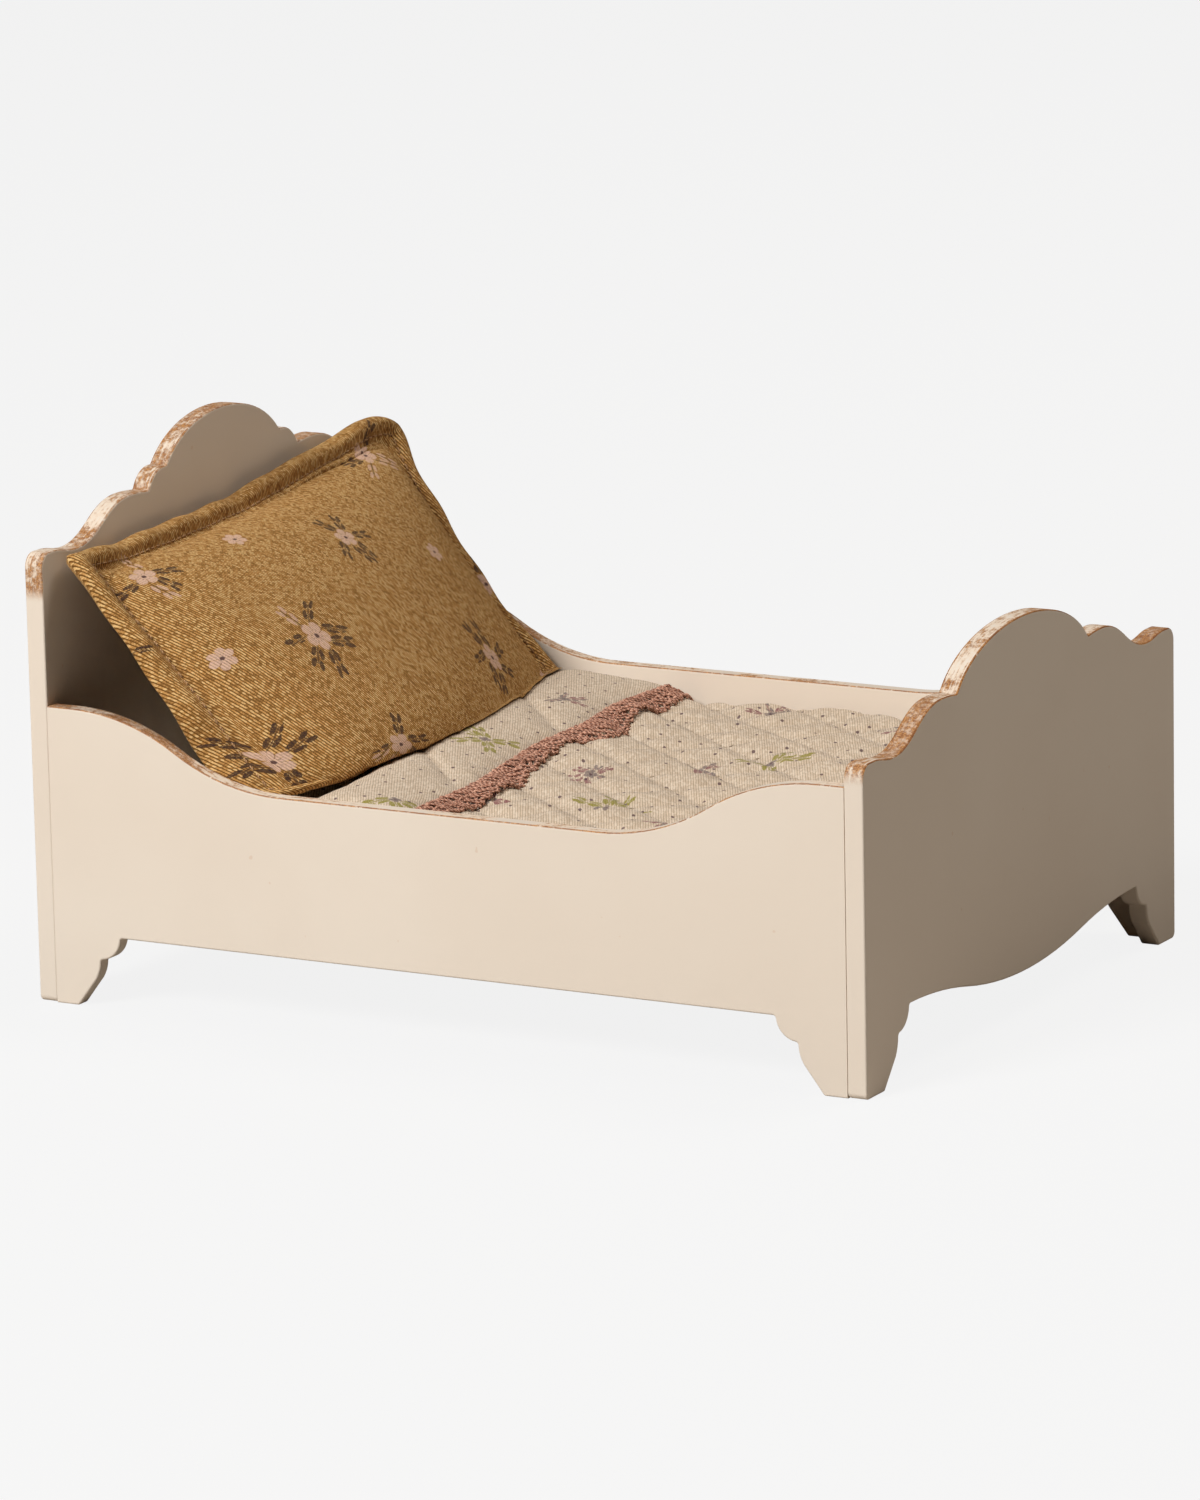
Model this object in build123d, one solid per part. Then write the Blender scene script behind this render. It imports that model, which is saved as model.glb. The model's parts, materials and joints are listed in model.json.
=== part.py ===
from build123d import *
import os
from math import acos, cos, degrees, radians, sin

os.makedirs("parts", exist_ok=True)

# A doll's bed: two scrolled end boards, two swept side panels, a loose base with a
# mattress, a quilt turned down at the head, and a pillow that leans on the headboard.
# Millimetres. +X runs from head to foot, +Z is up. The origin is on the floor, in the
# middle of the bed. Every piece is the same on both sides of the XZ plane.

# ---- Driving dimensions -------------------------------------------------------------
BED_LENGTH = 225.0
BED_WIDTH = 170.0
END_BOARD_THICK = 5.0
SIDE_PANEL_THICK = 4.0
EDGE_ROUND = 0.5            # sanded edges of the painted boards
CORNER_ROUND = 0.8          # the same, where an outline turns a corner
SMOOTH_TURN = 3.0           # degrees; an outline that turns less has no corner there

# Tops of the end boards. An ogee runs from the shoulder up to the cusp of the arch.
FOOT_SHOULDER_TOP = 79.0
HEAD_RISE = 31.8            # the headboard's shoulder is this much above the footboard's
SHOULDER_RADIUS = 3.5
SHOULDER_PEAK_Y = 79.0
VALLEY_Y = 69.5
VALLEY_DROP = 1.2           # below the shoulder
SLOPE_Y = 54.8
SLOPE_RISE = 4.4            # above the shoulder
CREST_Y = 43.5
CREST_RISE = 7.5            # above the shoulder
CUSP_RISE = 6.9             # above the shoulder
FOOT_ARCH_HALF = 38.0       # half axes of the footboard's arch
FOOT_CUSP_Y = 35.7
HEAD_ARCH_HALF = 30.0
HEAD_CUSP_Y = 27.1
HEAD_LOBE_Y = 35.5          # the headboard has one small round lobe beside its arch
HEAD_LOBE_BULGE_Y = 33.3
HEAD_LOBE_BULGE_RISE = 10.0
HEAD_CUSP_RISE = 11.7
ARCH_RISE = 18.2

# Feet and lower edges
SOLE_CORNER = 1.5           # rounding of the outer bottom corner of each foot
ANKLE_Z = 12.0              # the sharp notch between foot and quarter round
CALF_Z = 6.8
CALF_OUT = 1.4
QUARTER_ROUND = 5.8
END_ANKLE_Y = 68.2
END_TOE = 7.4               # from the notch out to the inner end of the sole
END_APRON_Z = 11.3          # lowest point of the end boards' apron
SIDE_ANKLE_X = 94.8
SIDE_TOE = 6.6

# Side panels' tops
RAIL_HIGH_Z = 73.7
RAIL_LOW_Z = 57.0
RAIL_SWEEP_OUTER_X = 101.0
RAIL_SWEEP_INNER_X = 43.0

# Joinery inside the frame
DOWEL_RADIUS = 1.0
DOWEL_IN_END = 3.0
DOWEL_IN_SIDE = 6.0
DOWEL_HEIGHTS = (7.0, 38.0, 66.0)
GLUE_GAP = 0.05             # radial room around dowels and brads
CLEAT_BOTTOM_Z = 18.5
CLEAT_SIZE = 5.0
CORNER_BLOCK_LEG = 12.0
CLEAT_END_GAP = 0.5
BASE_THICK = 3.0
BASE_PLAY = 0.3             # around the base, inside the frame
BRAD_RADIUS = 0.45
BRAD_LENGTH = 6.5
BRAD_HEAD_RADIUS = 1.0
BRAD_HEAD_THICK = 0.5
BRADS_ALONG_SIDE = (-70.0, 0.0, 70.0)
BRADS_ALONG_END = (-35.0, 35.0)

# Bedding
REST_GAP = 0.2              # between one loose piece and the next
FABRIC = 0.8
MATTRESS_LENGTH = 212.0
MATTRESS_WIDTH = 159.0
MATTRESS_THICK = 16.8
MATTRESS_CORNER = 8.0
MATTRESS_EDGE = 4.0
QUILT_HEAD_X = -60.0
QUILT_FOOT_X = 105.5
QUILT_WIDTH = 158.0
QUILT_THICK = 7.0
QUILT_CORNER = 5.0
CUFF_HEAD_X = -48.5
CUFF_FOOT_X = -20.0
CUFF_THICK = 3.4
CUFF_EDGE = 1.4
LACE_WIDTH = 8.0
LACE_THICK = 0.8

# The pillow lies in a leaning plane; "down" distances run along it from its top edge.
PILLOW_TOP_X = -106.2
PILLOW_TOP_Z = 113.6
PILLOW_LEAN = 51.0          # degrees from level
PILLOW_DOWN = 77.0
PILLOW_WIDTH = 158.0
PILLOW_CORNER = 5.0
FLANGE = 7.0
BELLY_FRONT = 20.0
BELLY_FRONT_FROM = 38.0
BELLY_FRONT_TO = 80.0
BELLY_BACK = 12.0
BELLY_BACK_FROM = 22.0
BELLY_BACK_TO = 66.0
BELLY_INSET_Y = 24.0
BELLY_ROUND = 6.0

# ---- Worked out from the above ------------------------------------------------------
END_INNER_X = BED_LENGTH / 2 - END_BOARD_THICK
SIDE_INNER_Y = BED_WIDTH / 2 - SIDE_PANEL_THICK
LOWER_EDGE_Z = ANKLE_Z + QUARTER_ROUND
BORE_RADIUS = DOWEL_RADIUS + GLUE_GAP
BASE_Z = CLEAT_BOTTOM_Z + CLEAT_SIZE
MATTRESS_Z = BASE_Z + BASE_THICK + REST_GAP
QUILT_Z = MATTRESS_Z + MATTRESS_THICK + REST_GAP
QUILT_TOP_Z = QUILT_Z + QUILT_THICK
TOUCHING = 0.01
SIDES = {"front": -1, "back": 1}
ENDS = {"head": -1, "foot": 1}


# ---- Outlines of the boards ---------------------------------------------------------
def ogee(start, end):
    """Two equal arcs that meet tangentially halfway and are level at both ends."""
    middle = ((start[0] + end[0]) / 2, (start[1] + end[1]) / 2)
    run = end[0] - start[0]
    return [
        TangentArc(start, middle, tangent=(run, 0)),
        TangentArc(end, middle, tangent=(-run, 0)),
    ]


def foot_edges(ankle, toe, outer, corner):
    """A foot's edge, from the quarter round's inner end to the foot's outer side."""
    notch = (ankle, ANKLE_Z)
    calf = (ankle + CALF_OUT, CALF_Z)
    sole = (ankle + toe, 0)
    bend = (ankle + CALF_OUT / 5, (ANKLE_Z + CALF_Z) / 2)
    start = (ankle - QUARTER_ROUND, LOWER_EDGE_Z)
    edges = [
        RadiusArc(notch, start, QUARTER_ROUND),
        ThreePointArc(notch, bend, calf),
        Line(calf, sole),
    ]
    if corner:
        edges.append(Line(sole, (outer - corner, 0)))
        edges.append(TangentArc((outer - corner, 0), (outer, corner), tangent=(1, 0)))
    else:
        edges.append(Line(sole, (outer, 0)))
    return edges


def shoulder_edges(top, cusp_y):
    """The top edge of an end board from its outer side in to the cusp."""
    half = BED_WIDTH / 2
    valley = (VALLEY_Y, top - VALLEY_DROP)
    slope = (SLOPE_Y, top + SLOPE_RISE)
    crest = (CREST_Y, top + CREST_RISE)
    corner = (half - SHOULDER_RADIUS, top)
    return [
        TangentArc(corner, (half, top - SHOULDER_RADIUS), tangent=(1, 0)),
        Line(corner, (SHOULDER_PEAK_Y, top)),
        Spline((SHOULDER_PEAK_Y, top), valley, tangents=((-1, 0), (-1, 0))),
        Spline(valley, slope, crest, tangents=((-1, 0), (-1, 0))),
        TangentArc(crest, (cusp_y, top + CUSP_RISE), tangent=(-1, 0)),
    ]


def arch_edge(half_width, cusp_y, cusp_z):
    """One half of the elliptical arch over the middle of an end board."""
    fraction = cusp_y / half_width
    centre = (0, cusp_z - ARCH_RISE * (1 - fraction**2) ** 0.5)
    start = degrees(acos(fraction))
    return EllipticalCenterArc(centre, half_width, ARCH_RISE, start, arc_size=90 - start)


def symmetric_face(edges):
    """The face bounded by these edges and their mirror image about the middle."""
    half = Curve() + edges
    whole = half + mirror(half, about=Plane.YZ)
    return make_face(whole.edges())


def apron_edges():
    """The lower edge of an end board, from the middle out to its outer side."""
    inner = (END_ANKLE_Y - QUARTER_ROUND, LOWER_EDGE_Z)
    feet = foot_edges(END_ANKLE_Y, END_TOE, BED_WIDTH / 2, SOLE_CORNER)
    return ogee((0, END_APRON_Z), inner) + feet


def footboard_face():
    half = BED_WIDTH / 2
    top = FOOT_SHOULDER_TOP
    edges = apron_edges()
    edges.append(Line((half, SOLE_CORNER), (half, top - SHOULDER_RADIUS)))
    edges += shoulder_edges(top, FOOT_CUSP_Y)
    edges.append(arch_edge(FOOT_ARCH_HALF, FOOT_CUSP_Y, top + CUSP_RISE))
    return symmetric_face(edges)


def headboard_face():
    half = BED_WIDTH / 2
    top = FOOT_SHOULDER_TOP + HEAD_RISE
    lobe = (HEAD_LOBE_Y, top + CUSP_RISE)
    bulge = (HEAD_LOBE_BULGE_Y, top + HEAD_LOBE_BULGE_RISE)
    cusp = (HEAD_CUSP_Y, top + HEAD_CUSP_RISE)
    edges = apron_edges()
    edges.append(Line((half, SOLE_CORNER), (half, RAIL_HIGH_Z)))
    edges.append(Line((half, RAIL_HIGH_Z), (half, top - SHOULDER_RADIUS)))
    edges += shoulder_edges(top, HEAD_LOBE_Y)
    edges.append(ThreePointArc(lobe, bulge, cusp))
    edges.append(arch_edge(HEAD_ARCH_HALF, HEAD_CUSP_Y, cusp[1]))
    return symmetric_face(edges)


def side_panel_face():
    low = (RAIL_SWEEP_INNER_X, RAIL_LOW_Z)
    high = (RAIL_SWEEP_OUTER_X, RAIL_HIGH_Z)
    edges = [Line((0, LOWER_EDGE_Z), (SIDE_ANKLE_X - QUARTER_ROUND, LOWER_EDGE_Z))]
    edges += foot_edges(SIDE_ANKLE_X, SIDE_TOE, END_INNER_X, 0)
    edges.append(Line((END_INNER_X, 0), (END_INNER_X, RAIL_HIGH_Z)))
    edges.append(Line((END_INNER_X, RAIL_HIGH_Z), high))
    edges += ogee(high, low)
    edges.append(Line(low, (0, RAIL_LOW_Z)))
    return symmetric_face(edges)


# ---- Painted boards -----------------------------------------------------------------
def peg(radius, into_end, into_side, end, side, z):
    """A cylinder across a corner joint, reaching into the end board and the side panel."""
    x = end * (END_INNER_X + (into_end - into_side) / 2)
    y = side * (SIDE_INNER_Y + SIDE_PANEL_THICK / 2)
    return Location((x, y, z), (0, 90, 0)) * Cylinder(radius, into_end + into_side)


def pegs(radius, into_end, into_side, ends, sides):
    """One such cylinder at every dowel height of these corners."""
    return [
        peg(radius, into_end, into_side, end, side, z)
        for end in ends
        for side in sides
        for z in DOWEL_HEIGHTS
    ]


def corner_edges(board, axis):
    """The edges through a board's thickness at which its outline turns a corner."""
    found = []
    for edge in board.edges().filter_by(axis):
        middle = edge.center()
        beside = [face for face in board.faces() if any(edge.is_same(e) for e in face.edges())]
        turn = beside[0].normal_at(middle).get_angle(beside[1].normal_at(middle))
        if turn > SMOOTH_TURN:
            found.append(edge)
    return found


def is_butted(edge, end):
    """True for an end board's inner edge that a side panel's end covers."""
    at = edge.center()
    inner = abs(at.X - end * END_INNER_X) < TOUCHING
    return inner and abs(at.Y) > SIDE_INNER_Y and SOLE_CORNER < at.Z < RAIL_HIGH_Z


def end_board(end, face):
    """An end board with rounded edges and blind dowel holes; end is -1 or 1."""
    start = -BED_LENGTH / 2 if end < 0 else END_INNER_X
    board = extrude(Plane.YZ.offset(start) * face, amount=END_BOARD_THICK)
    board = fillet(corner_edges(board, Axis.X), CORNER_ROUND)
    rims = board.faces().filter_by(Axis.X).edges()
    board = fillet([edge for edge in rims if not is_butted(edge, end)], EDGE_ROUND)
    return board - pegs(BORE_RADIUS, DOWEL_IN_END, 0, [end], SIDES.values())


def side_panel(side):
    """A side panel with rounded edges and dowel holes in its ends; side is -1 or 1."""
    start = SIDE_INNER_Y if side < 0 else -SIDE_INNER_Y - SIDE_PANEL_THICK
    panel = extrude(Plane.XZ.offset(start) * side_panel_face(), amount=SIDE_PANEL_THICK)
    corners = [edge for edge in corner_edges(panel, Axis.Y) if not is_at_end(edge)]
    panel = fillet(corners, CORNER_ROUND)
    rims = panel.faces().filter_by(Axis.Y).edges()
    panel = fillet([edge for edge in rims if not is_at_end(edge)], EDGE_ROUND)
    return panel - pegs(BORE_RADIUS, 0, DOWEL_IN_SIDE, ENDS.values(), [side])


def is_at_end(edge):
    """True for a side panel's edge that lies against an end board."""
    return abs(edge.center().X) > END_INNER_X - TOUCHING


def dowels():
    """Twelve wooden dowels, three in each corner joint."""
    into_end = DOWEL_IN_END - GLUE_GAP
    into_side = DOWEL_IN_SIDE - GLUE_GAP
    corners = (ENDS.values(), SIDES.values())
    return Compound(children=pegs(DOWEL_RADIUS, into_end, into_side, *corners))


# ---- Base, cleats and corner blocks -------------------------------------------------
def brad_places():
    side_y = SIDE_INNER_Y - CLEAT_SIZE / 2
    end_x = END_INNER_X - CLEAT_SIZE / 2
    places = [(x, side * side_y) for side in SIDES.values() for x in BRADS_ALONG_SIDE]
    places += [(end * end_x, y) for end in ENDS.values() for y in BRADS_ALONG_END]
    return places


def brad(radius_gap, x, y):
    """A brad driven down through the base, its head flush with the base's top."""
    top = BASE_Z + BASE_THICK
    shank = Cylinder(BRAD_RADIUS + radius_gap, BRAD_LENGTH)
    head = Cylinder(BRAD_HEAD_RADIUS + radius_gap, BRAD_HEAD_THICK + radius_gap)
    shank = Location((x, y, top - BRAD_LENGTH / 2)) * shank
    return shank + Location((x, y, top - (BRAD_HEAD_THICK + radius_gap) / 2)) * head


def brads():
    return Compound(children=[brad(0, x, y) for x, y in brad_places()])


def drilled(piece):
    """The piece with a hole for every brad that passes through it."""
    return piece - [brad(GLUE_GAP, x, y) for x, y in brad_places()]


def base_panel():
    length = 2 * (END_INNER_X - BASE_PLAY)
    width = 2 * (SIDE_INNER_Y - BASE_PLAY)
    return drilled(Location((0, 0, BASE_Z + BASE_THICK / 2)) * Box(length, width, BASE_THICK))


def side_cleat(side):
    length = 2 * (END_INNER_X - CORNER_BLOCK_LEG - CLEAT_END_GAP)
    y = side * (SIDE_INNER_Y - CLEAT_SIZE / 2)
    strip = Box(length, CLEAT_SIZE, CLEAT_SIZE)
    return drilled(Location((0, y, CLEAT_BOTTOM_Z + CLEAT_SIZE / 2)) * strip)


def end_cleat(end):
    length = 2 * (SIDE_INNER_Y - CORNER_BLOCK_LEG - CLEAT_END_GAP)
    x = end * (END_INNER_X - CLEAT_SIZE / 2)
    strip = Box(CLEAT_SIZE, length, CLEAT_SIZE)
    return drilled(Location((x, 0, CLEAT_BOTTOM_Z + CLEAT_SIZE / 2)) * strip)


def corner_block(end, side):
    """A three-cornered glue block under the base, in one corner of the frame."""
    x = end * END_INNER_X
    y = side * SIDE_INNER_Y
    leg = CORNER_BLOCK_LEG
    outline = Polyline((x, y), (x - end * leg, y), (x, y - side * leg), close=True)
    return extrude(Plane.XY.offset(CLEAT_BOTTOM_Z) * make_face(outline), amount=CLEAT_SIZE)


# ---- Mattress -----------------------------------------------------------------------
def slab(low_x, high_x, width, low_z, thick, corner):
    """A flat slab with rounded upright corners."""
    outline = RectangleRounded(high_x - low_x, width, corner)
    place = Location(((low_x + high_x) / 2, 0, low_z))
    return extrude(place * outline, amount=thick)


def mattress_block(inset):
    """The mattress's outer form, drawn in by inset on every side."""
    half = MATTRESS_LENGTH / 2 - inset
    width = MATTRESS_WIDTH - 2 * inset
    thick = MATTRESS_THICK - 2 * inset
    block = slab(-half, half, width, MATTRESS_Z + inset, thick, MATTRESS_CORNER - inset)
    rims = block.faces().filter_by(Axis.Z).edges()
    return fillet(rims, MATTRESS_EDGE - inset)


def mattress_pieces():
    core = mattress_block(FABRIC)
    skin = mattress_block(0) - core
    seam = Plane.XY.offset(MATTRESS_Z + MATTRESS_THICK / 2)
    return {
        "mattress_core": core,
        "mattress_cover_top": split(skin, bisect_by=seam, keep=Keep.TOP),
        "mattress_cover_bottom": split(skin, bisect_by=seam, keep=Keep.BOTTOM),
    }


# ---- Quilt --------------------------------------------------------------------------
def quilt_layer(low_z, thick):
    return slab(QUILT_HEAD_X, QUILT_FOOT_X, QUILT_WIDTH, low_z, thick, QUILT_CORNER)


def quilt_cuff():
    """The head end of the quilt, turned down over the top of it."""
    cuff = slab(CUFF_HEAD_X, CUFF_FOOT_X, QUILT_WIDTH, QUILT_TOP_Z, CUFF_THICK, CUFF_EDGE)
    return fillet(cuff.faces().sort_by(Axis.Z)[-1].edges(), CUFF_EDGE)


def quilt_lace():
    """The lace trim along the cuff's free edge, lying on the quilt."""
    centre = (CUFF_FOOT_X + LACE_WIDTH / 2, 0, QUILT_TOP_Z + LACE_THICK / 2)
    return Location(centre) * Box(LACE_WIDTH, QUILT_WIDTH - 2 * CUFF_EDGE, LACE_THICK)


def quilt_pieces():
    wadding = QUILT_THICK - 2 * FABRIC
    return {
        "quilt_backing": quilt_layer(QUILT_Z, FABRIC),
        "quilt_wadding": quilt_layer(QUILT_Z + FABRIC, wadding),
        "quilt_top": quilt_layer(QUILT_TOP_Z - FABRIC, FABRIC),
        "quilt_cuff": quilt_cuff(),
        "quilt_lace": quilt_lace(),
    }


# ---- Pillow -------------------------------------------------------------------------
# Pillow plane: local x runs along the bed's width, local y up the slope, local z out
# of the pillow's front.
def pillow_plane():
    lean = radians(PILLOW_LEAN)
    up_slope = Vector(-cos(lean), 0, sin(lean))
    front = Vector(sin(lean), 0, cos(lean))
    top = Vector(PILLOW_TOP_X, 0, PILLOW_TOP_Z)
    return Plane(origin=top, x_dir=up_slope.cross(front), z_dir=front)


def belly(height, belly_from, belly_to, inset):
    """One swollen half of the pillow, inside its flange and drawn in by inset."""
    half = PILLOW_WIDTH / 2 - FLANGE - inset
    top_half = half - BELLY_INSET_Y
    sign = 1 if height > 0 else -1
    rise = abs(height) - inset
    low = (PILLOW_DOWN - FLANGE - inset, belly_to - inset)
    high = (FLANGE + inset, belly_from + inset)
    base = Location((0, -(low[0] + high[0]) / 2)) * Rectangle(2 * half, low[0] - high[0])
    crown = Location((0, -(low[1] + high[1]) / 2, rise)) * Rectangle(2 * top_half, low[1] - high[1])
    form = loft([base.face(), crown.face()], ruled=True)
    crown_rim = form.faces().sort_by(Axis.Z)[-1].edges()
    form = fillet(crown_rim, BELLY_ROUND - inset)
    return form if sign > 0 else mirror(form, about=Plane.XY)


def flange(thick):
    """One flat layer of the flange all round, with room for the filling inside it."""
    middle = Location((0, -PILLOW_DOWN / 2))
    outer = RectangleRounded(PILLOW_WIDTH, PILLOW_DOWN, PILLOW_CORNER)
    inner = Rectangle(PILLOW_WIDTH - 2 * FLANGE - 2 * FABRIC, PILLOW_DOWN - 2 * FLANGE - 2 * FABRIC)
    return extrude(middle * (outer - inner), amount=thick)


def pillow_pieces():
    plane = pillow_plane()
    front_args = (BELLY_FRONT, BELLY_FRONT_FROM, BELLY_FRONT_TO)
    back_args = (-BELLY_BACK, BELLY_BACK_FROM, BELLY_BACK_TO)
    front_core = belly(*front_args, FABRIC)
    back_core = belly(*back_args, FABRIC)
    front = belly(*front_args, 0) + flange(FABRIC) - front_core
    back = belly(*back_args, 0) + flange(-FABRIC) - back_core
    return {
        "pillow_filling": plane * (front_core + back_core),
        "pillow_cover_front": plane * front,
        "pillow_cover_back": plane * back,
    }


# ---- The whole bed ------------------------------------------------------------------
def all_pieces():
    pieces = {
        "headboard": end_board(ENDS["head"], headboard_face()),
        "footboard": end_board(ENDS["foot"], footboard_face()),
        "panel_dowels": dowels(),
        "base_panel": base_panel(),
        "base_brads": brads(),
    }
    for side_name, side in SIDES.items():
        pieces[f"side_panel_{side_name}"] = side_panel(side)
        pieces[f"cleat_{side_name}"] = side_cleat(side)
    for end_name, end in ENDS.items():
        pieces[f"cleat_{end_name}"] = end_cleat(end)
        for side_name, side in SIDES.items():
            pieces[f"corner_block_{end_name}_{side_name}"] = corner_block(end, side)
    pieces.update(mattress_pieces())
    pieces.update(quilt_pieces())
    pieces.update(pillow_pieces())
    return pieces


for node, shape in all_pieces().items():
    export_step(shape, f"parts/{node}.step")
    print(f"{node}: {shape.volume:.1f} mm3")
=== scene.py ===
"""Looks for a painted doll's bed with a leaning pillow and a quilt with a lace-edged cuff."""

import json
import math
from functools import reduce

import bpy
import numpy as np
from mathutils import Matrix, Vector

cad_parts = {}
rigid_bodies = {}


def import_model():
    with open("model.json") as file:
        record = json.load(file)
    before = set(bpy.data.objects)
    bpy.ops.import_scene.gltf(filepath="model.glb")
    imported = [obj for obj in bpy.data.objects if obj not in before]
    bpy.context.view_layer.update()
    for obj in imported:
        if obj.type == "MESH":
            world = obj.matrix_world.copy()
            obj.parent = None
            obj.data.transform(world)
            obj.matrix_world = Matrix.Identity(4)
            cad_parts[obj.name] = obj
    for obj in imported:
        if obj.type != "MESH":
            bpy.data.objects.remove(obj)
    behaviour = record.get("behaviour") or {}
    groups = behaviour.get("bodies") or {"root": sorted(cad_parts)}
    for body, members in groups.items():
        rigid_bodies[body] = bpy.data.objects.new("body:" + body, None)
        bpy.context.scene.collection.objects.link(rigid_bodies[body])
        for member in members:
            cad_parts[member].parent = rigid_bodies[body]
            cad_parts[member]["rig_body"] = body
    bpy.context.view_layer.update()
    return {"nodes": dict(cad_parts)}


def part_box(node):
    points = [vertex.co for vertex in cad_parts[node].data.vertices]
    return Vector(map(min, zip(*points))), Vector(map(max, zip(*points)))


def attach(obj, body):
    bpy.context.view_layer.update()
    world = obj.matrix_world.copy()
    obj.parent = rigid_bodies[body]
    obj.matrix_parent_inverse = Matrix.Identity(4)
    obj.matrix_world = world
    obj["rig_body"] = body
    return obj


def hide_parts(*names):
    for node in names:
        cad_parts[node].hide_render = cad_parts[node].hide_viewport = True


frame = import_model()

MM = 0.001
scene = bpy.context.scene


# ---- colours and node trees


def linear(code):
    """The linear colour of a six-digit screen colour such as "E6D8C7"."""
    made = []
    for i in (0, 2, 4):
        c = int(code[i : i + 2], 16) / 255
        made.append(c / 12.92 if c <= 0.04045 else ((c + 0.055) / 1.055) ** 2.4)
    return (*made, 1.0)


class Paints:
    """The node tree of a new material, or of an owner such as the world.

    A call adds a node and returns its output. Values are numbers or outputs.
    """

    def __init__(self, name, owner=None):
        self.owner = owner or bpy.data.materials.new(name)
        self.owner.use_nodes = True
        self.tree = self.owner.node_tree
        self.tree.nodes.clear()

    def node(self, kind, inputs=None, output=0, **settings):
        """Adds a node. kind is its type's name after ShaderNode."""
        made = self.tree.nodes.new("ShaderNode" + kind)
        for key, value in settings.items():
            setattr(made, key, value)
        for key, value in (inputs or {}).items():
            if isinstance(value, bpy.types.NodeSocket):
                self.tree.links.new(value, made.inputs[key])
            else:
                made.inputs[key].default_value = value
        return made.outputs[output]

    def math(self, operation, a, b=0.0, c=0.0):
        return self.node("Math", {0: a, 1: b, 2: c}, operation=operation)

    def chain(self, operation, values):
        return reduce(lambda made, value: self.math(operation, made, value), values)

    def times(self, *values):
        return self.chain("MULTIPLY", values)

    def add(self, *values):
        return self.chain("ADD", values)

    def most(self, *values):
        return self.chain("MAXIMUM", values)

    def minus(self, a, b):
        return self.math("SUBTRACT", a, b)

    def size(self, value):
        return self.math("ABSOLUTE", value)

    def cosine(self, angle):
        return self.math("COSINE", angle)

    def scaled(self, value, scale, start):
        """value times scale, plus start."""
        return self.math("MULTIPLY_ADD", value, scale, start)

    def vector(self, operation, a, b=(0.0, 0.0, 0.0), output=0):
        return self.node("VectorMath", {0: a, 1: b}, output, operation=operation)

    def step(self, value, low, high):
        """0 below low and 1 above high, smoothly; the other way round where low is above high."""
        inputs = {"Value": value, "From Min": low, "From Max": high}
        return self.node("MapRange", inputs, interpolation_type="SMOOTHSTEP")

    def mix(self, share, a, b):
        return self.node("Mix", {0: share, 6: a, 7: b}, 2, data_type="RGBA")

    def blend(self, share, a, b):
        return self.node("Mix", {0: share, 2: a, 3: b}, 0, data_type="FLOAT")

    def noise(self, point, scale, detail=2.0, roughness=0.5, output=0):
        inputs = {"Vector": point, "Scale": scale, "Detail": detail, "Roughness": roughness}
        return self.node("TexNoise", inputs, output)

    def parts(self, vector):
        return list(self.node("SeparateXYZ", {0: vector}).node.outputs)

    def joined(self, x, y, z=0.0):
        return self.node("CombineXYZ", {0: x, 1: y, 2: z})

    def stretched(self, point, scale):
        return self.node("Mapping", {"Vector": point, "Scale": scale})

    def grain(self, point, scale, detail, roughness):
        """Noise with its own scale along each axis."""
        return self.noise(self.stretched(point, scale), 1.0, detail, roughness)

    def tinted(self, colour, towards, amount, value, low, high):
        """The colour taken towards another by up to amount, as value goes from low to high."""
        return self.mix(self.times(self.step(value, low, high), amount), colour, towards)

    def bump(self, height, depth, normal=None, strength=1.0):
        inputs = {"Height": height, "Distance": depth, "Strength": strength}
        if normal is not None:
            inputs["Normal"] = normal
        return self.node("Bump", inputs)

    def surface(self, colour, roughness, normal=None, **settings):
        """The shader. settings are the same all over the surface, with _ for a space in a socket's name."""
        inputs = {"Base Color": colour, "Roughness": roughness}
        if normal is not None:
            inputs["Normal"] = normal
        for key, value in settings.items():
            inputs[key.replace("_", " ")] = value
        return self.finished(self.node("BsdfPrincipled", inputs))

    def cloth(self, colour, roughness, normal, gloss, sheen, sheen_roughness, **settings):
        return self.surface(
            colour, roughness, normal, Specular_IOR_Level=gloss, Sheen_Weight=sheen,
            Sheen_Roughness=sheen_roughness, **settings,
        )

    def finished(self, shader, kind="OutputMaterial"):
        """The owner, with this shader as its surface."""
        out = self.tree.nodes.new("ShaderNode" + kind)
        self.tree.links.new(shader, out.inputs["Surface"])
        return self.owner

    def seen_as(self, lit, seen, kind="OutputMaterial"):
        """The owner, with one shader for the light and another for the camera."""
        to_camera = self.node("LightPath", output="Is Camera Ray")
        return self.finished(self.node("MixShader", {0: to_camera, 1: lit, 2: seen}), kind)

    def object_point(self):
        return self.node("TexCoord", output="Object")

    def cloth_point(self):
        """The place on the flat cloth, in metres."""
        return self.node("TexCoord", output="UV")

    def normal_part(self, axis):
        """The size of the surface normal's part along an axis, 0 to 1."""
        normal = self.node("NewGeometry", output="Normal")
        return self.size(self.parts(normal)[axis])


# ---- paint, wood and steel


CREAM = linear("EBE0D2")
CREAM_SHADE = linear("E3D5C5")
PRIMER = linear("E9D6C1")
BARE_EDGE = linear("C38B4E")
BARE_EDGE_DARK = linear("80491F")


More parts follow.
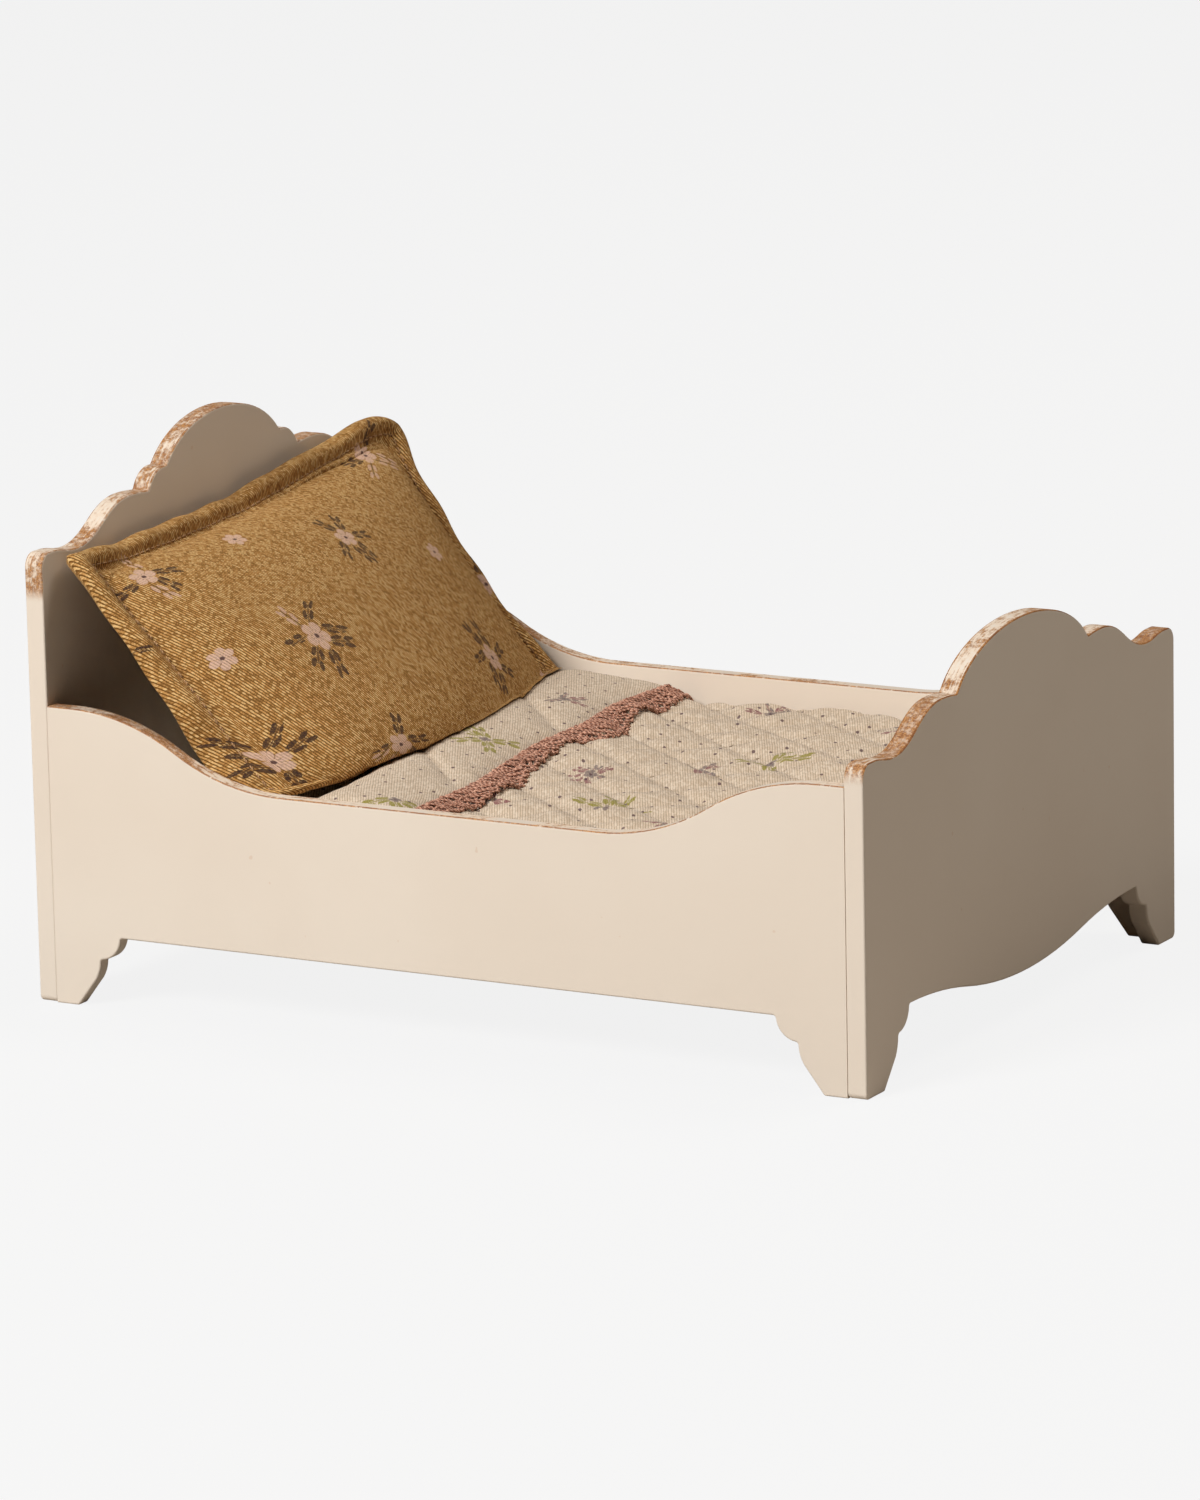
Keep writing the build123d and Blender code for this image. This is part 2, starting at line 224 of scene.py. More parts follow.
def cream_paint(name, thickness_axis, worn_above, wear, line, head_wear=0.0):
    """Satin paint on a board. Its cut edges above a height are rubbed through to primer and wood.

    line is how much of the rims' length shows as a thin brown line, and head_wear adds rubbing towards
    the head.
    """
    m = Paints(name)
    p = m.object_point()
    x, _, z = m.parts(p)
    face = m.normal_part(thickness_axis)
    cut_edge = m.step(face, 0.75, 0.35)
    rim = m.times(m.step(face, 0.04, 0.3), m.step(face, 0.985, 0.8))
    high = m.step(z, worn_above, worn_above + 4 * MM)
    patches = m.noise(p, 60.0, 3.0, 0.5)
    flecks = m.noise(p, 700.0, 6.0, 0.75)
    fine = m.noise(p, 2600.0, 3.0, 0.6)
    streak_size = (170.0, 1500.0, 170.0) if thickness_axis else (1500.0, 170.0, 170.0)
    streaks = m.grain(p, streak_size, 4.0, 0.65)
    rubbed = m.add(
        m.times(cut_edge, 0.40),
        m.times(rim, 0.30),
        m.times(m.minus(patches, 0.45), 2.3),
        m.times(m.minus(flecks, 0.5), 1.1),
        m.times(m.step(x, -15 * MM, -65 * MM), head_wear),
        m.times(m.minus(streaks, 0.5), 1.5),
    )
    near_edge = m.most(cut_edge, rim)
    to_primer = m.times(m.step(rubbed, 0.26 - wear, 0.50 - wear), near_edge, high, 0.85)
    to_wood = m.times(m.step(rubbed, 0.50 - wear, 0.86 - wear), near_edge, high, 0.95)
    to_wood = m.times(to_wood, m.blend(m.step(flecks, 0.38, 0.56), 0.45, 1.0))
    lined = m.times(rim, high, m.step(flecks, 0.58 - 0.3 * line, 0.74 - 0.3 * line), line)
    to_wood = m.most(to_wood, lined)
    tone = m.step(m.noise(p, 14.0, 3.0, 0.5), 0.3, 0.7)
    colour = m.mix(m.times(tone, 0.5), CREAM, CREAM_SHADE)
    specks = m.times(m.step(m.noise(p, 420.0, 1.0, 0.3), 0.80, 0.84), 0.2)
    colour = m.mix(specks, colour, BARE_EDGE)
    colour = m.mix(to_primer, colour, PRIMER)
    wood = m.mix(m.step(fine, 0.36, 0.60), BARE_EDGE_DARK, BARE_EDGE)
    wood = m.tinted(wood, BARE_EDGE_DARK, 0.75, streaks, 0.55, 0.40)
    colour = m.mix(to_wood, colour, wood)
    stroke = (40.0, 40.0, 900.0) if thickness_axis else (40.0, 900.0, 40.0)
    brush = m.grain(p, stroke, 3.0, 0.6)
    height = m.minus(m.times(brush, 0.25), m.times(to_wood, 0.8))
    height = m.add(height, m.times(flecks, to_primer, 0.4))
    normal = m.bump(height, 0.12 * MM, strength=0.55)
    roughness = m.add(m.blend(to_primer, 0.42, 0.7), m.times(brush, 0.08))
    return m.surface(
        colour, roughness, normal, Specular_IOR_Level=0.35, Coat_Weight=0.06, Coat_Roughness=0.35
    )


def bare_wood(name, pale, dark, grain_scale):
    """Sanded wood with its grain along X."""
    m = Paints(name)
    p = m.object_point()
    wavy = m.grain(p, (8.0, 60.0, 60.0), 3.0, 0.5)
    grain = m.grain(p, (12.0, grain_scale, grain_scale), 6.0, 0.65)
    pores = m.grain(p, (90.0, 2600.0, 2600.0), 2.0, 0.5)
    tone = m.add(m.times(m.step(grain, 0.3, 0.7), 0.7), m.times(wavy, 0.3))
    colour = m.mix(tone, linear(dark), linear(pale))
    colour = m.tinted(colour, linear(dark), 0.5, pores, 0.62, 0.75)
    height = m.minus(grain, m.step(pores, 0.62, 0.75))
    normal = m.bump(height, 0.08 * MM, strength=0.5)
    return m.surface(colour, m.blend(grain, 0.62, 0.8), normal, Specular_IOR_Level=0.25)


def steel(name):
    m = Paints(name)
    p = m.object_point()
    scratches = m.grain(p, (9000.0, 900.0, 900.0), 2.0, 0.6)
    colour = m.mix(scratches, linear("8F8C86"), linear("C9C6C0"))
    normal = m.bump(scratches, 0.02 * MM, strength=0.4)
    return m.surface(colour, m.blend(scratches, 0.28, 0.5), normal, Metallic=1.0)


# ---- cloth and its prints


def twill(m, point, along, pitch):
    """Ribs of twill. along is the ribs' direction on the cloth.

    Returns the ribs' height, a fine yarn noise, and a chance that's the same all over one float of yarn.
    """

    def swell(value, whole):
        """0 where the value is a whole number, and 1 halfway to the next."""
        turn = m.times(m.minus(value, whole), math.tau)
        return m.scaled(m.cosine(turn), -0.5, 0.5)

    ax, ay = along
    size = math.hypot(ax, ay)
    ax, ay = ax / size, ay / size
    x, y, _ = m.parts(point)
    across = m.minus(m.times(x, ay), m.times(y, ax))
    length = m.add(m.times(x, ax), m.times(y, ay))
    wander = m.noise(point, 260.0, 2.0, 0.5)
    ribs = m.add(m.times(across, 1 / pitch), m.times(wander, 0.5))
    number = m.math("FLOOR", ribs)
    floats = m.add(m.times(length, 0.8 / pitch), m.times(number, 0.37))
    float_number = m.math("FLOOR", floats)
    height = m.times(swell(ribs, number), m.scaled(swell(floats, float_number), 0.35, 0.65))
    thread = {"Vector": m.joined(number, float_number)}
    chance = m.node("TexWhiteNoise", thread, 0, noise_dimensions="2D")
    yarn = m.noise(m.joined(across, m.times(length, 0.35)), 1500.0, 3.0, 0.7)
    return height, yarn, chance


def nearest(m, point, centres):
    """The place measured from the nearest of some centres, and a turn that belongs to that centre."""
    best, reach, turn = None, None, None
    for i, (x, y) in enumerate(centres):
        away = m.vector("SUBTRACT", point, (x * MM, y * MM, 0.0))
        length = m.vector("LENGTH", away, output="Value")
        own_turn = 1.3 + 2.1 * i
        if best is None:
            best, reach, turn = away, length, own_turn
            continue
        closer = m.math("LESS_THAN", length, reach)
        best = m.node("Mix", {0: closer, 4: best, 5: away}, 1, data_type="VECTOR")
        turn = m.blend(closer, turn, own_turn)
        reach = m.math("MINIMUM", length, reach)
    return best, turn


def spray(m, place, turn, radius, petals, flower, stems, leaf_size, kept, bud_share=0.86):
    """Masks of a flower with stems round it that carry pairs of leaves: petal, eye, leaf, bud and stem."""
    rough = m.noise(place, 1100.0, 3.0, 0.7, output="Color")
    moved = m.vector("SCALE", m.vector("SUBTRACT", rough, (0.5, 0.5, 0.5)))
    moved.node.inputs["Scale"].default_value = 0.8 * MM
    x, y, _ = m.parts(m.vector("ADD", place, moved))
    r = m.math("DIVIDE", m.math("SQRT", m.add(m.times(x, x), m.times(y, y))), radius)
    angle = m.add(m.math("ARCTAN2", y, x), turn)
    lobes = m.math("SQRT", m.size(m.cosine(m.times(angle, petals / 2))))
    edge = m.scaled(lobes, 0.45 * flower, 0.55 * flower)
    petal = m.step(m.minus(edge, r), -0.015, 0.035)
    gap = m.times(m.step(lobes, 0.5, 0.2), m.step(r, flower * 0.25, flower * 0.45), 0.75)
    petal = m.times(petal, m.minus(1.0, gap))
    eye = m.step(r, flower * 0.21, flower * 0.12)
    dots_ring = m.step(m.size(m.minus(r, flower * 0.38)), flower * 0.07, flower * 0.03)
    stamens = m.times(m.step(m.cosine(m.times(angle, petals * 2.0)), 0.75, 0.95), dots_ring, 0.7)
    sector = m.math("DIVIDE", m.times(angle, float(stems)), math.tau)
    number = m.math("FLOOR", sector)
    within = m.minus(m.minus(sector, number), 0.5)
    draw = m.add(number, m.times(turn, 7.3))
    chance = m.node("TexWhiteNoise", {"W": draw}, 1, noise_dimensions="1D")
    c1, c2, c3 = m.parts(chance)
    bend = m.times(within, math.tau / stems)
    along = m.times(r, m.cosine(bend))
    lean = m.times(m.minus(c3, 0.5), 1.5)
    side = m.scaled(lean, m.minus(along, flower), m.times(r, m.math("SINE", bend)))
    pair_gap = leaf_size * 1.12
    middle = m.scaled(c1, 0.12, flower + leaf_size * 0.8 + pair_gap)
    off = m.minus(m.size(m.minus(along, middle)), pair_gap)
    off = m.math("DIVIDE", m.times(off, m.math("SIGN", m.minus(along, middle))), leaf_size)
    wide = m.math("DIVIDE", m.minus(m.size(side), leaf_size * 0.62), leaf_size * 0.46)
    off = m.minus(off, m.times(wide, 0.38))
    inside = m.minus(1.0, m.add(m.times(off, off), m.times(wide, wide)))
    here = m.math("LESS_THAN", c2, kept)
    shape = m.times(m.step(inside, 0.0, 0.3), here)
    is_bud = m.math("GREATER_THAN", c1, bud_share)
    leaf = m.times(shape, m.minus(1.0, is_bud))
    bud = m.times(shape, is_bud)
    thin = m.step(m.size(side), 0.30 * MM / radius, 0.14 * MM / radius)
    stem_end = m.math("LESS_THAN", along, m.add(middle, pair_gap))
    stem = m.times(thin, here, m.step(r, flower * 0.8, flower), stem_end)
    return petal, m.most(eye, stamens), leaf, bud, stem


OCHRE = linear("CC9857")
OCHRE_LIGHT = linear("EFCB8C")
# Dark ochre: painted shade in the gaps between twill ribs, and also the darker yarn of the heather and
# clouding.
OCHRE_DARK_AND_RIB_SHADE = linear("6B461D")
PETAL_PINK = linear("DDBAA6")
PLUM = linear("43262C")
CHARCOAL = linear("3A2A27")


def ochre_print(name, bouquets, singles):
    """Ochre twill with bunches of pink flowers and dark leaves, at set places on the flat cloth. The gaps
    between its ribs are darkened as painted shade.
    """
    m = Paints(name)
    p = m.cloth_point()
    rib, yarn, chance = twill(m, p, (0.31, 0.95), 0.66 * MM)
    heather = m.noise(p, 2600.0, 1.0, 0.6)
    cloud = m.noise(p, 45.0, 2.0, 0.5)
    # Painted shade: the twill's rib gaps get the dark ochre.
    colour = m.mix(m.step(rib, 0.06, 0.50), OCHRE_DARK_AND_RIB_SHADE, OCHRE)
    tone = m.scaled(heather, 0.9, m.times(chance, 0.5))
    colour = m.mix(m.times(m.step(tone, 0.66, 0.92), m.step(rib, 0.15, 0.5), 0.9), colour, OCHRE_LIGHT)
    colour = m.tinted(colour, OCHRE_DARK_AND_RIB_SHADE, 0.7, tone, 0.64, 0.42)
    colour = m.tinted(colour, OCHRE_DARK_AND_RIB_SHADE, 0.3, yarn, 0.52, 0.3)
    colour = m.mix(m.times(cloud, 0.12), colour, OCHRE_DARK_AND_RIB_SHADE)
    # The print is thinner in the rib gaps, so the painted rib shade shows through it there.
    on_ribs = m.blend(m.step(rib, 0.06, 0.4), 0.62, 1.0)
    over = m.times(on_ribs, m.blend(m.step(heather, 0.36, 0.5), 0.75, 1.0))
    place, turn = nearest(m, p, bouquets)
    petal, eye, leaf, bud, stem = spray(m, place, turn, 9.4 * MM, 5, 0.42, 7, 0.17, 0.85)
    spot, spot_turn = nearest(m, p, singles)
    petal2, eye2 = spray(m, spot, spot_turn, 4.3 * MM, 6, 0.80, 5, 0.08, 0.0)[:2]
    pink = m.most(petal, petal2, m.times(bud, 0.8))
    dark = m.most(leaf, m.times(stem, 0.8))
    worn = m.blend(m.step(m.noise(p, 1300.0, 3.0, 0.7), 0.35, 0.55), 0.75, 1.0)
    colour = m.mix(m.times(pink, over, worn, 0.95), colour, PETAL_PINK)
    colour = m.mix(m.times(dark, over, worn), colour, CHARCOAL)
    colour = m.mix(m.times(m.most(eye, eye2), 0.9), colour, PLUM)
    wrinkle = m.bump(m.noise(p, 70.0, 1.0, 0.4), 1.0 * MM, strength=0.25)
    normal = m.bump(m.add(rib, m.times(yarn, 0.4)), 0.10 * MM, wrinkle, 0.6)
    return m.cloth(colour, 0.88, normal, 0.2, 0.12, 0.5, Sheen_Tint=linear("E3C08A"))


OATMEAL = linear("D8C5AF")
# Dark oatmeal: painted shade in the gaps between twill ribs, and also the darker yarn of the slubs.
OATMEAL_DARK_AND_RIB_SHADE = linear("A8947C")
OATMEAL_PALE = linear("EEE1D0")
OLIVE = linear("8A8220")
MAUVE_GREY = linear("6B5C5C")
MAUVE = linear("7B3F48")
DOT_PLUM = linear("50333B")


def oatmeal_print(name, olive_sprigs, mauve_sprigs):
    """Oatmeal cotton with small dark dots and sparse sprigs. The gaps between its twill ribs are darkened
    as painted shade.
    """
    m = Paints(name)
    p = m.cloth_point()
    rib, yarn, chance = twill(m, p, (-0.48, 0.88), 0.62 * MM)
    slub = m.noise(p, 2400.0, 1.0, 0.6)
    tone = m.scaled(slub, 0.7, m.times(chance, 0.5))
    # Painted shade: the twill's rib gaps get the dark oatmeal.
    colour = m.mix(m.step(rib, 0.0, 0.38), OATMEAL_DARK_AND_RIB_SHADE, OATMEAL)
    colour = m.tinted(colour, OATMEAL_DARK_AND_RIB_SHADE, 0.3, yarn, 0.55, 0.3)
    colour = m.tinted(colour, OATMEAL_PALE, 0.35, tone, 0.60, 0.85)
    colour = m.tinted(colour, OATMEAL_DARK_AND_RIB_SHADE, 0.3, tone, 0.56, 0.36)
    # The print is thinner in the rib gaps, so the painted rib shade shows through it there.
    over = m.blend(m.step(rib, 0.06, 0.4), 0.75, 1.0)
    dots = m.node(
        "TexVoronoi", {"Vector": p, "Scale": 142.0, "Randomness": 0.62}, "Distance",
        voronoi_dimensions="2D",
    )
    dot = m.step(dots, 0.072, 0.052)
    place, turn = nearest(m, p, olive_sprigs)
    petal, eye, leaf, bud, stem = spray(m, place, turn, 9.0 * MM, 4, 0.18, 5, 0.19, 0.85)
    spot, spot_turn = nearest(m, p, mauve_sprigs)
    petal2, eye2, leaf2, bud2, stem2 = spray(m, spot, spot_turn, 7.0 * MM, 5, 0.26, 8, 0.15, 0.75, 0.45)
    worn = m.blend(m.step(m.noise(p, 1500.0, 3.0, 0.7), 0.35, 0.6), 0.85, 1.0)
    ink = m.times(over, worn)
    colour = m.mix(m.times(m.most(leaf, m.times(stem, 0.8)), ink, 0.95), colour, OLIVE)
    grey = m.most(petal, bud, petal2, leaf2)
    colour = m.mix(m.times(grey, ink, 0.9), colour, MAUVE_GREY)
    colour = m.mix(m.times(m.most(bud2, m.times(stem2, 0.8)), ink, 0.9), colour, MAUVE)
    marks = m.most(dot, eye, eye2)
    colour = m.mix(m.times(marks, 0.85), colour, DOT_PLUM)
    pucker = m.bump(m.noise(p, 110.0, 2.0, 0.45), 1.0 * MM, strength=0.35)
    normal = m.bump(m.add(rib, m.times(yarn, 0.5)), 0.08 * MM, pucker, 0.6)
    return m.cloth(colour, 0.92, normal, 0.15, 0.1, 0.6)


STRIPES_PER_METRE = 90.0


def plain_weave(name, thread, gap, pitch, stripe=None):
    """Plain cotton, with a woven stripe along the cloth if a colour is given for it. gap is the colour of
    painted shade in the weave's low spots, and also of the darker slubs.
    """
    m = Paints(name)
    p = m.cloth_point()
    x, y, _ = m.parts(p)
    wander = m.times(m.noise(p, 600.0, 2.0, 0.5), 2.0)
    warp = m.math("SINE", m.add(m.times(x, math.tau / pitch), wander))
    weft = m.math("SINE", m.add(m.times(y, math.tau / pitch), wander))
    over = m.scaled(m.times(warp, weft), 0.5, 0.5)
    slub = m.grain(p, (300.0, 1500.0, 1.0), 3.0, 0.6)
    base = linear(thread)
    if stripe:
        band = m.size(m.minus(m.math("FRACT", m.times(y, STRIPES_PER_METRE)), 0.5))
        thin_line = m.times(m.step(band, 0.17, 0.18), m.step(band, 0.22, 0.21))
        lines = m.most(m.step(band, 0.1, 0.07), thin_line)
        base = m.mix(m.times(lines, 0.8), base, linear(stripe))
    # Painted shade: the low spots of the weave are taken towards the gap colour.
    colour = m.tinted(base, linear(gap), 0.6, over, 0.45, 0.05)
    colour = m.tinted(colour, linear(gap), 0.2, slub, 0.6, 0.4)
    normal = m.bump(m.add(over, slub), 0.08 * MM, strength=0.6)
    return m.cloth(colour, 0.9, normal, 0.15, 0.1, 0.6)


def yarn_look(name, pale, dark, twist):
    """Cotton yarn: fine plies turning round it, from the tube's own u round it and v along it. dark is
    painted shade in the grooves between the plies and pale a painted highlight on their crests, with random
    fuzz and patches mixed in.
    """
    m = Paints(name)
    p = m.cloth_point()
    u, v, _ = m.parts(p)
    turned = m.add(m.times(u, math.tau * 2), m.times(v, math.tau * twist))
    ply = m.scaled(m.math("SINE", turned), 0.5, 0.5)
    place = m.object_point()
    fuzz = m.noise(place, 2600.0, 3.0, 0.7)
    patch = m.noise(place, 160.0, 2.0, 0.5)
    tone = m.add(m.times(ply, 0.55), m.times(fuzz, 0.45))
    # Painted shade and highlight: dark in the ply grooves, pale on the ply crests.
    colour = m.mix(m.step(tone, 0.25, 0.7), linear(dark), linear(pale))
    colour = m.tinted(colour, linear(dark), 0.3, patch, 0.6, 0.35)
    normal = m.bump(m.add(ply, m.times(fuzz, 0.7)), 0.12 * MM, strength=0.8)
    return m.cloth(colour, 0.93, normal, 0.12, 0.18, 0.5)


# ---- mesh helpers


def smooth_curve(knots):
    """A smooth function through a few (place, value) knots, level with them past the ends."""
    xs = np.array([k[0] for k in knots], float)
    ys = np.array([k[1] for k in knots], float)
    slopes = np.gradient(ys, xs)

    def value(x):
        x = np.clip(x, xs[0], xs[-1])
        i = np.clip(np.searchsorted(xs, x) - 1, 0, len(xs) - 2)
        h = xs[i + 1] - xs[i]
        t = (x - xs[i]) / h
        rise = ys[i] * (1 + 2 * t) * (1 - t) ** 2 + ys[i + 1] * t * t * (3 - 2 * t)
        return rise + h * (slopes[i] * t * (1 - t) ** 2 - slopes[i + 1] * t * t * (1 - t))

    return value


def waves(x, y, seed, length, count=7):
    """A gentle seeded unevenness, about -1 to 1, of a given wavelength."""
    draw = np.random.default_rng(seed)
    total = np.zeros(np.broadcast(x, y).shape)
    for _ in range(count):
        turn, phase = draw.uniform(0, math.tau, 2)
        size = length * draw.uniform(0.6, 1.6)
        total = total + np.sin((x * math.cos(turn) + y * math.sin(turn)) * math.tau / size + phase)
    return total / math.sqrt(count)


def unit(value):
    """The value kept between 0 and 1."""
    return np.clip(value, 0, 1)


def grid_faces(rows, cols, first=0, flip=False, wrap=False):
    """Quads over a rows x cols grid of points whose columns run fastest."""
    faces = []
    for i in range(rows - 1):
        for j in range(cols if wrap else cols - 1):
            a = first + i * cols + j
            b = first + i * cols + (j + 1) % cols
            quad = (a, b, b + cols, a + cols)
            faces.append(quad[::-1] if flip else quad)
    return faces


def edge_ring(rows, cols):
    """The grid's border points, once round."""
    top = list(range(cols))
    right = [i * cols + cols - 1 for i in range(1, rows)]
    bottom = [(rows - 1) * cols + j for j in range(cols - 2, -1, -1)]
    left = [i * cols for i in range(rows - 2, 0, -1)]
    return top + right + bottom + left


def mesh_object(name, points, faces, materials, flat=None, which=None):
    """An object of a mesh in metres.

    flat is each point's place on the flat cloth, and which is each face's material.
    """
    mesh = bpy.data.meshes.new(name)
    mesh.from_pydata(np.asarray(points, float).tolist(), [], faces)
    if flat is not None:
        layer = mesh.uv_layers.new(name="flat")
        loops = np.zeros(len(mesh.loops), np.int32)
        mesh.loops.foreach_get("vertex_index", loops)
        layer.data.foreach_set("uv", np.asarray(flat, np.float32)[loops].ravel())
    for material in materials:
        mesh.materials.append(material)
    if which is not None:
        mesh.polygons.foreach_set("material_index", np.asarray(which, np.int32))
    mesh.polygons.foreach_set("use_smooth", np.ones(len(mesh.polygons), bool))
    mesh.update()
    made = bpy.data.objects.new(name, mesh)
    scene.collection.objects.link(made)
    return made


def tube(path, radius, sides=6, closed=False):
    """A round tube along points. Its flat places are (0 to 1 round it, metres along it)."""
    path = np.asarray(path, float)
    radius = np.broadcast_to(np.asarray(radius, float), (len(path),))
    if closed:
        ahead, behind = np.roll(path, -1, 0), np.roll(path, 1, 0)
    else:
        ahead, behind = np.vstack([path[1:], path[-1:]]), np.vstack([path[:1], path[:-1]])
    along = ahead - behind
    along /= np.linalg.norm(along, axis=1)[:, None] + 1e-12
    up = np.array([0.0, 0.0, 1.0]) - along * along[:, 2:3]
    up = up + np.array([1.0, 0.3, 0.0]) * 1e-3
    up -= along * (up * along).sum(1)[:, None]
    up /= np.linalg.norm(up, axis=1)[:, None]
    side = np.cross(along, up)
    turn = np.linspace(0, math.tau, sides, endpoint=False)
    outward = np.cos(turn)[None, :, None] * side[:, None] + np.sin(turn)[None, :, None] * up[:, None]
    ring = path[:, None] + radius[:, None, None] * outward
    length = np.concatenate([[0], np.cumsum(np.linalg.norm(np.diff(path, axis=0), axis=1))])
    flat = np.stack(np.broadcast_arrays(turn[None] / math.tau, length[:, None]), -1)
    count = len(path)
    faces = grid_faces(count, sides, wrap=True)
    if closed:
        last = (count - 1) * sides
        faces += [(last + j, last + (j + 1) % sides, (j + 1) % sides, j) for j in range(sides)]
    else:
        faces.append(tuple(range(sides))[::-1])
        faces.append(tuple((count - 1) * sides + j for j in range(sides)))
    return ring.reshape(-1, 3), faces, flat.reshape(-1, 2)


def tubes_object(name, tubes, material):
    """One object of several tubes."""
    points, faces, flats, first = [], [], [], 0
    for p, f, uv in tubes:
        points.append(p)
        flats.append(uv)
        faces += [tuple(i + first for i in face) for face in f]
        first += len(p)
    return mesh_object(name, np.vstack(points), faces, [material], np.vstack(flats))


def stitches(path, lift, length, gap, radius):
    """Short thread capsules end to end along a path, each dipping into the cloth at its ends."""
    run = np.concatenate([[0], np.cumsum(np.linalg.norm(np.diff(path, axis=0), axis=1))])
    made = []
    start = gap / 2
    while start + length < run[-1]:
        at = start + length * np.array([0.0, 0.12, 0.5, 0.88, 1.0])
        spots = np.stack([np.interp(at, run, path[:, k]) for k in range(3)], 1)
        ups = np.stack([np.interp(at, run, lift[:, k]) for k in range(3)], 1)
        rise = np.array([-0.9, 0.15, 0.75, 0.15, -0.9])[:, None] * radius
        made.append(tube(spots + ups * rise, radius * np.array([0.5, 0.9, 1.0, 0.9, 0.5]), 6))
        start += length + gap
    return made


def normals_of(grid):
    """Unit normals of a rows x cols grid of points."""
    across = np.gradient(grid, axis=1)
    down = np.gradient(grid, axis=0)
    normal = np.cross(across, down)
    return normal / (np.linalg.norm(normal, axis=2)[:, :, None] + 1e-12)


def between(grid, i, j):
    """A grid's value at rows i and columns j, which needn't be whole numbers."""
    i = np.clip(i, 0, grid.shape[0] - 1.001)
    j = np.clip(j, 0, grid.shape[1] - 1.001)
    i0, j0 = np.floor(i).astype(int), np.floor(j).astype(int)
    s, t = i - i0, j - j0
    if grid.ndim == 3:
        s, t = s[..., None], t[..., None]
    near = grid[i0, j0] * (1 - t) + grid[i0, j0 + 1] * t
    far = grid[i0 + 1, j0] * (1 - t) + grid[i0 + 1, j0 + 1] * t
    return near * (1 - s) + far * s


def two_sheet_faces(rows, cols):
    """The faces of two grids of points, the second turned over, joined round their borders."""
    size = rows * cols
    ring = edge_ring(rows, cols)
    joins = [(i, size + i, size + j, j) for i, j in zip(ring, ring[1:] + ring[:1])]
    return grid_faces(rows, cols) + grid_faces(rows, cols, size, flip=True) + joins


def two_sided(name, upper, lower, materials, flat):
    """A closed piece of two grids joined round their borders."""
    points = np.vstack([upper.reshape(-1, 3), lower.reshape(-1, 3)])
    flats = np.vstack([flat.reshape(-1, 2)] * 2)
    return mesh_object(name, points, two_sheet_faces(*upper.shape[:2]), materials, flats)


SIM_SCALE = 10.0


def settled(points, faces, pinned, growth, frames, pressure=0.0, lift=0.0, bending=0.4):
    """Where cloth comes to rest, held at its pinned points. The solver works at ten times the size."""
    mesh = bpy.data.meshes.new("settling")
    mesh.from_pydata((np.asarray(points) * SIM_SCALE).tolist(), [], faces)
    cloth_object = bpy.data.objects.new("settling", mesh)
    scene.collection.objects.link(cloth_object)
    pins = cloth_object.vertex_groups.new(name="pins")
    pins.add([int(i) for i in np.flatnonzero(pinned)], 1.0, "REPLACE")
    cloth = cloth_object.modifiers.new("cloth", "CLOTH")
    s = cloth.settings
    s.quality = 6
    s.mass = 0.25
    s.air_damping = 3.0
    s.tension_stiffness = s.compression_stiffness = 25.0
    s.shear_stiffness = 12.0
    s.bending_stiffness = bending
    s.vertex_group_mass = "pins"
    s.shrink_min = -growth
    s.use_pressure = pressure > 0
    s.uniform_pressure_force = pressure
    s.effector_weights.gravity = 1.0
    scene.gravity = (0.0, 0.0, lift)
    cloth.collision_settings.use_collision = False
    cloth.point_cache.frame_start = 1
    cloth.point_cache.frame_end = frames
    for number in range(1, frames + 1):
        scene.frame_set(number)
    shown = cloth_object.evaluated_get(bpy.context.evaluated_depsgraph_get())
    found = np.zeros(len(mesh.vertices) * 3)
    shown.data.vertices.foreach_get("co", found)
    bpy.data.objects.remove(cloth_object)
    bpy.data.meshes.remove(mesh)
    scene.frame_set(1)
    return found.reshape(-1, 3) / SIM_SCALE


# ---- the bed frame


HEAD_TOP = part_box("headboard")[1].z
FOOT_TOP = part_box("footboard")[1].z
SIDE_WEAR = (50 * MM, -0.22, 0.9, 0.62)
PLAIN_WOOD = bare_wood("bare_pine", "D9BC8E", "A97F4E", 420.0)
PLY = bare_wood("bare_ply", "CDAE82", "9C7347", 300.0)
FRAME_LOOKS = {
    "headboard": cream_paint("paint_headboard", 0, HEAD_TOP - 34 * MM, 0.27, 0.7),
    "footboard": cream_paint("paint_footboard", 0, FOOT_TOP - 24 * MM, 0.34, 1.0),
    "side_panel_front": cream_paint("paint_side_front", 1, *SIDE_WEAR),
    "side_panel_back": cream_paint("paint_side_back", 1, *SIDE_WEAR),
    "base_panel": PLY,
    "base_brads": steel("brad_steel"),
}
for node_name, node in frame["nodes"].items():
    if node["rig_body"] == "frame":
        look = FRAME_LOOKS.get(node_name, PLAIN_WOOD)
        node.data.materials.clear()
        node.data.materials.append(look)


# ---- the quilt


WELL_LOW, WELL_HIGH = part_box("quilt_top")
QUILT_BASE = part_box("quilt_backing")[0].z
QUILT_TOP = 50.7 * MM
HEAD_SEAM_SLOPE = -0.75
FOOT_SEAM_SLOPE = 1.05
SEAM_SPACING = 20.5 * MM
HEAD_SEAM_SHIFT = 4.5 * MM
FOOT_SEAM_SHIFT = -1.5 * MM
FAMILIES = ((HEAD_SEAM_SLOPE, HEAD_SEAM_SHIFT), (FOOT_SEAM_SLOPE, FOOT_SEAM_SHIFT))
GRID_STEP = 1.35 * MM


def seam_drift(x, slope):
    """How far a family's seams stray from straight lines, as hand-fed quilting does."""
    return 0.9 * MM * waves(x, 0 * x, 61 if slope > 0 else 62, 55 * MM, 4)


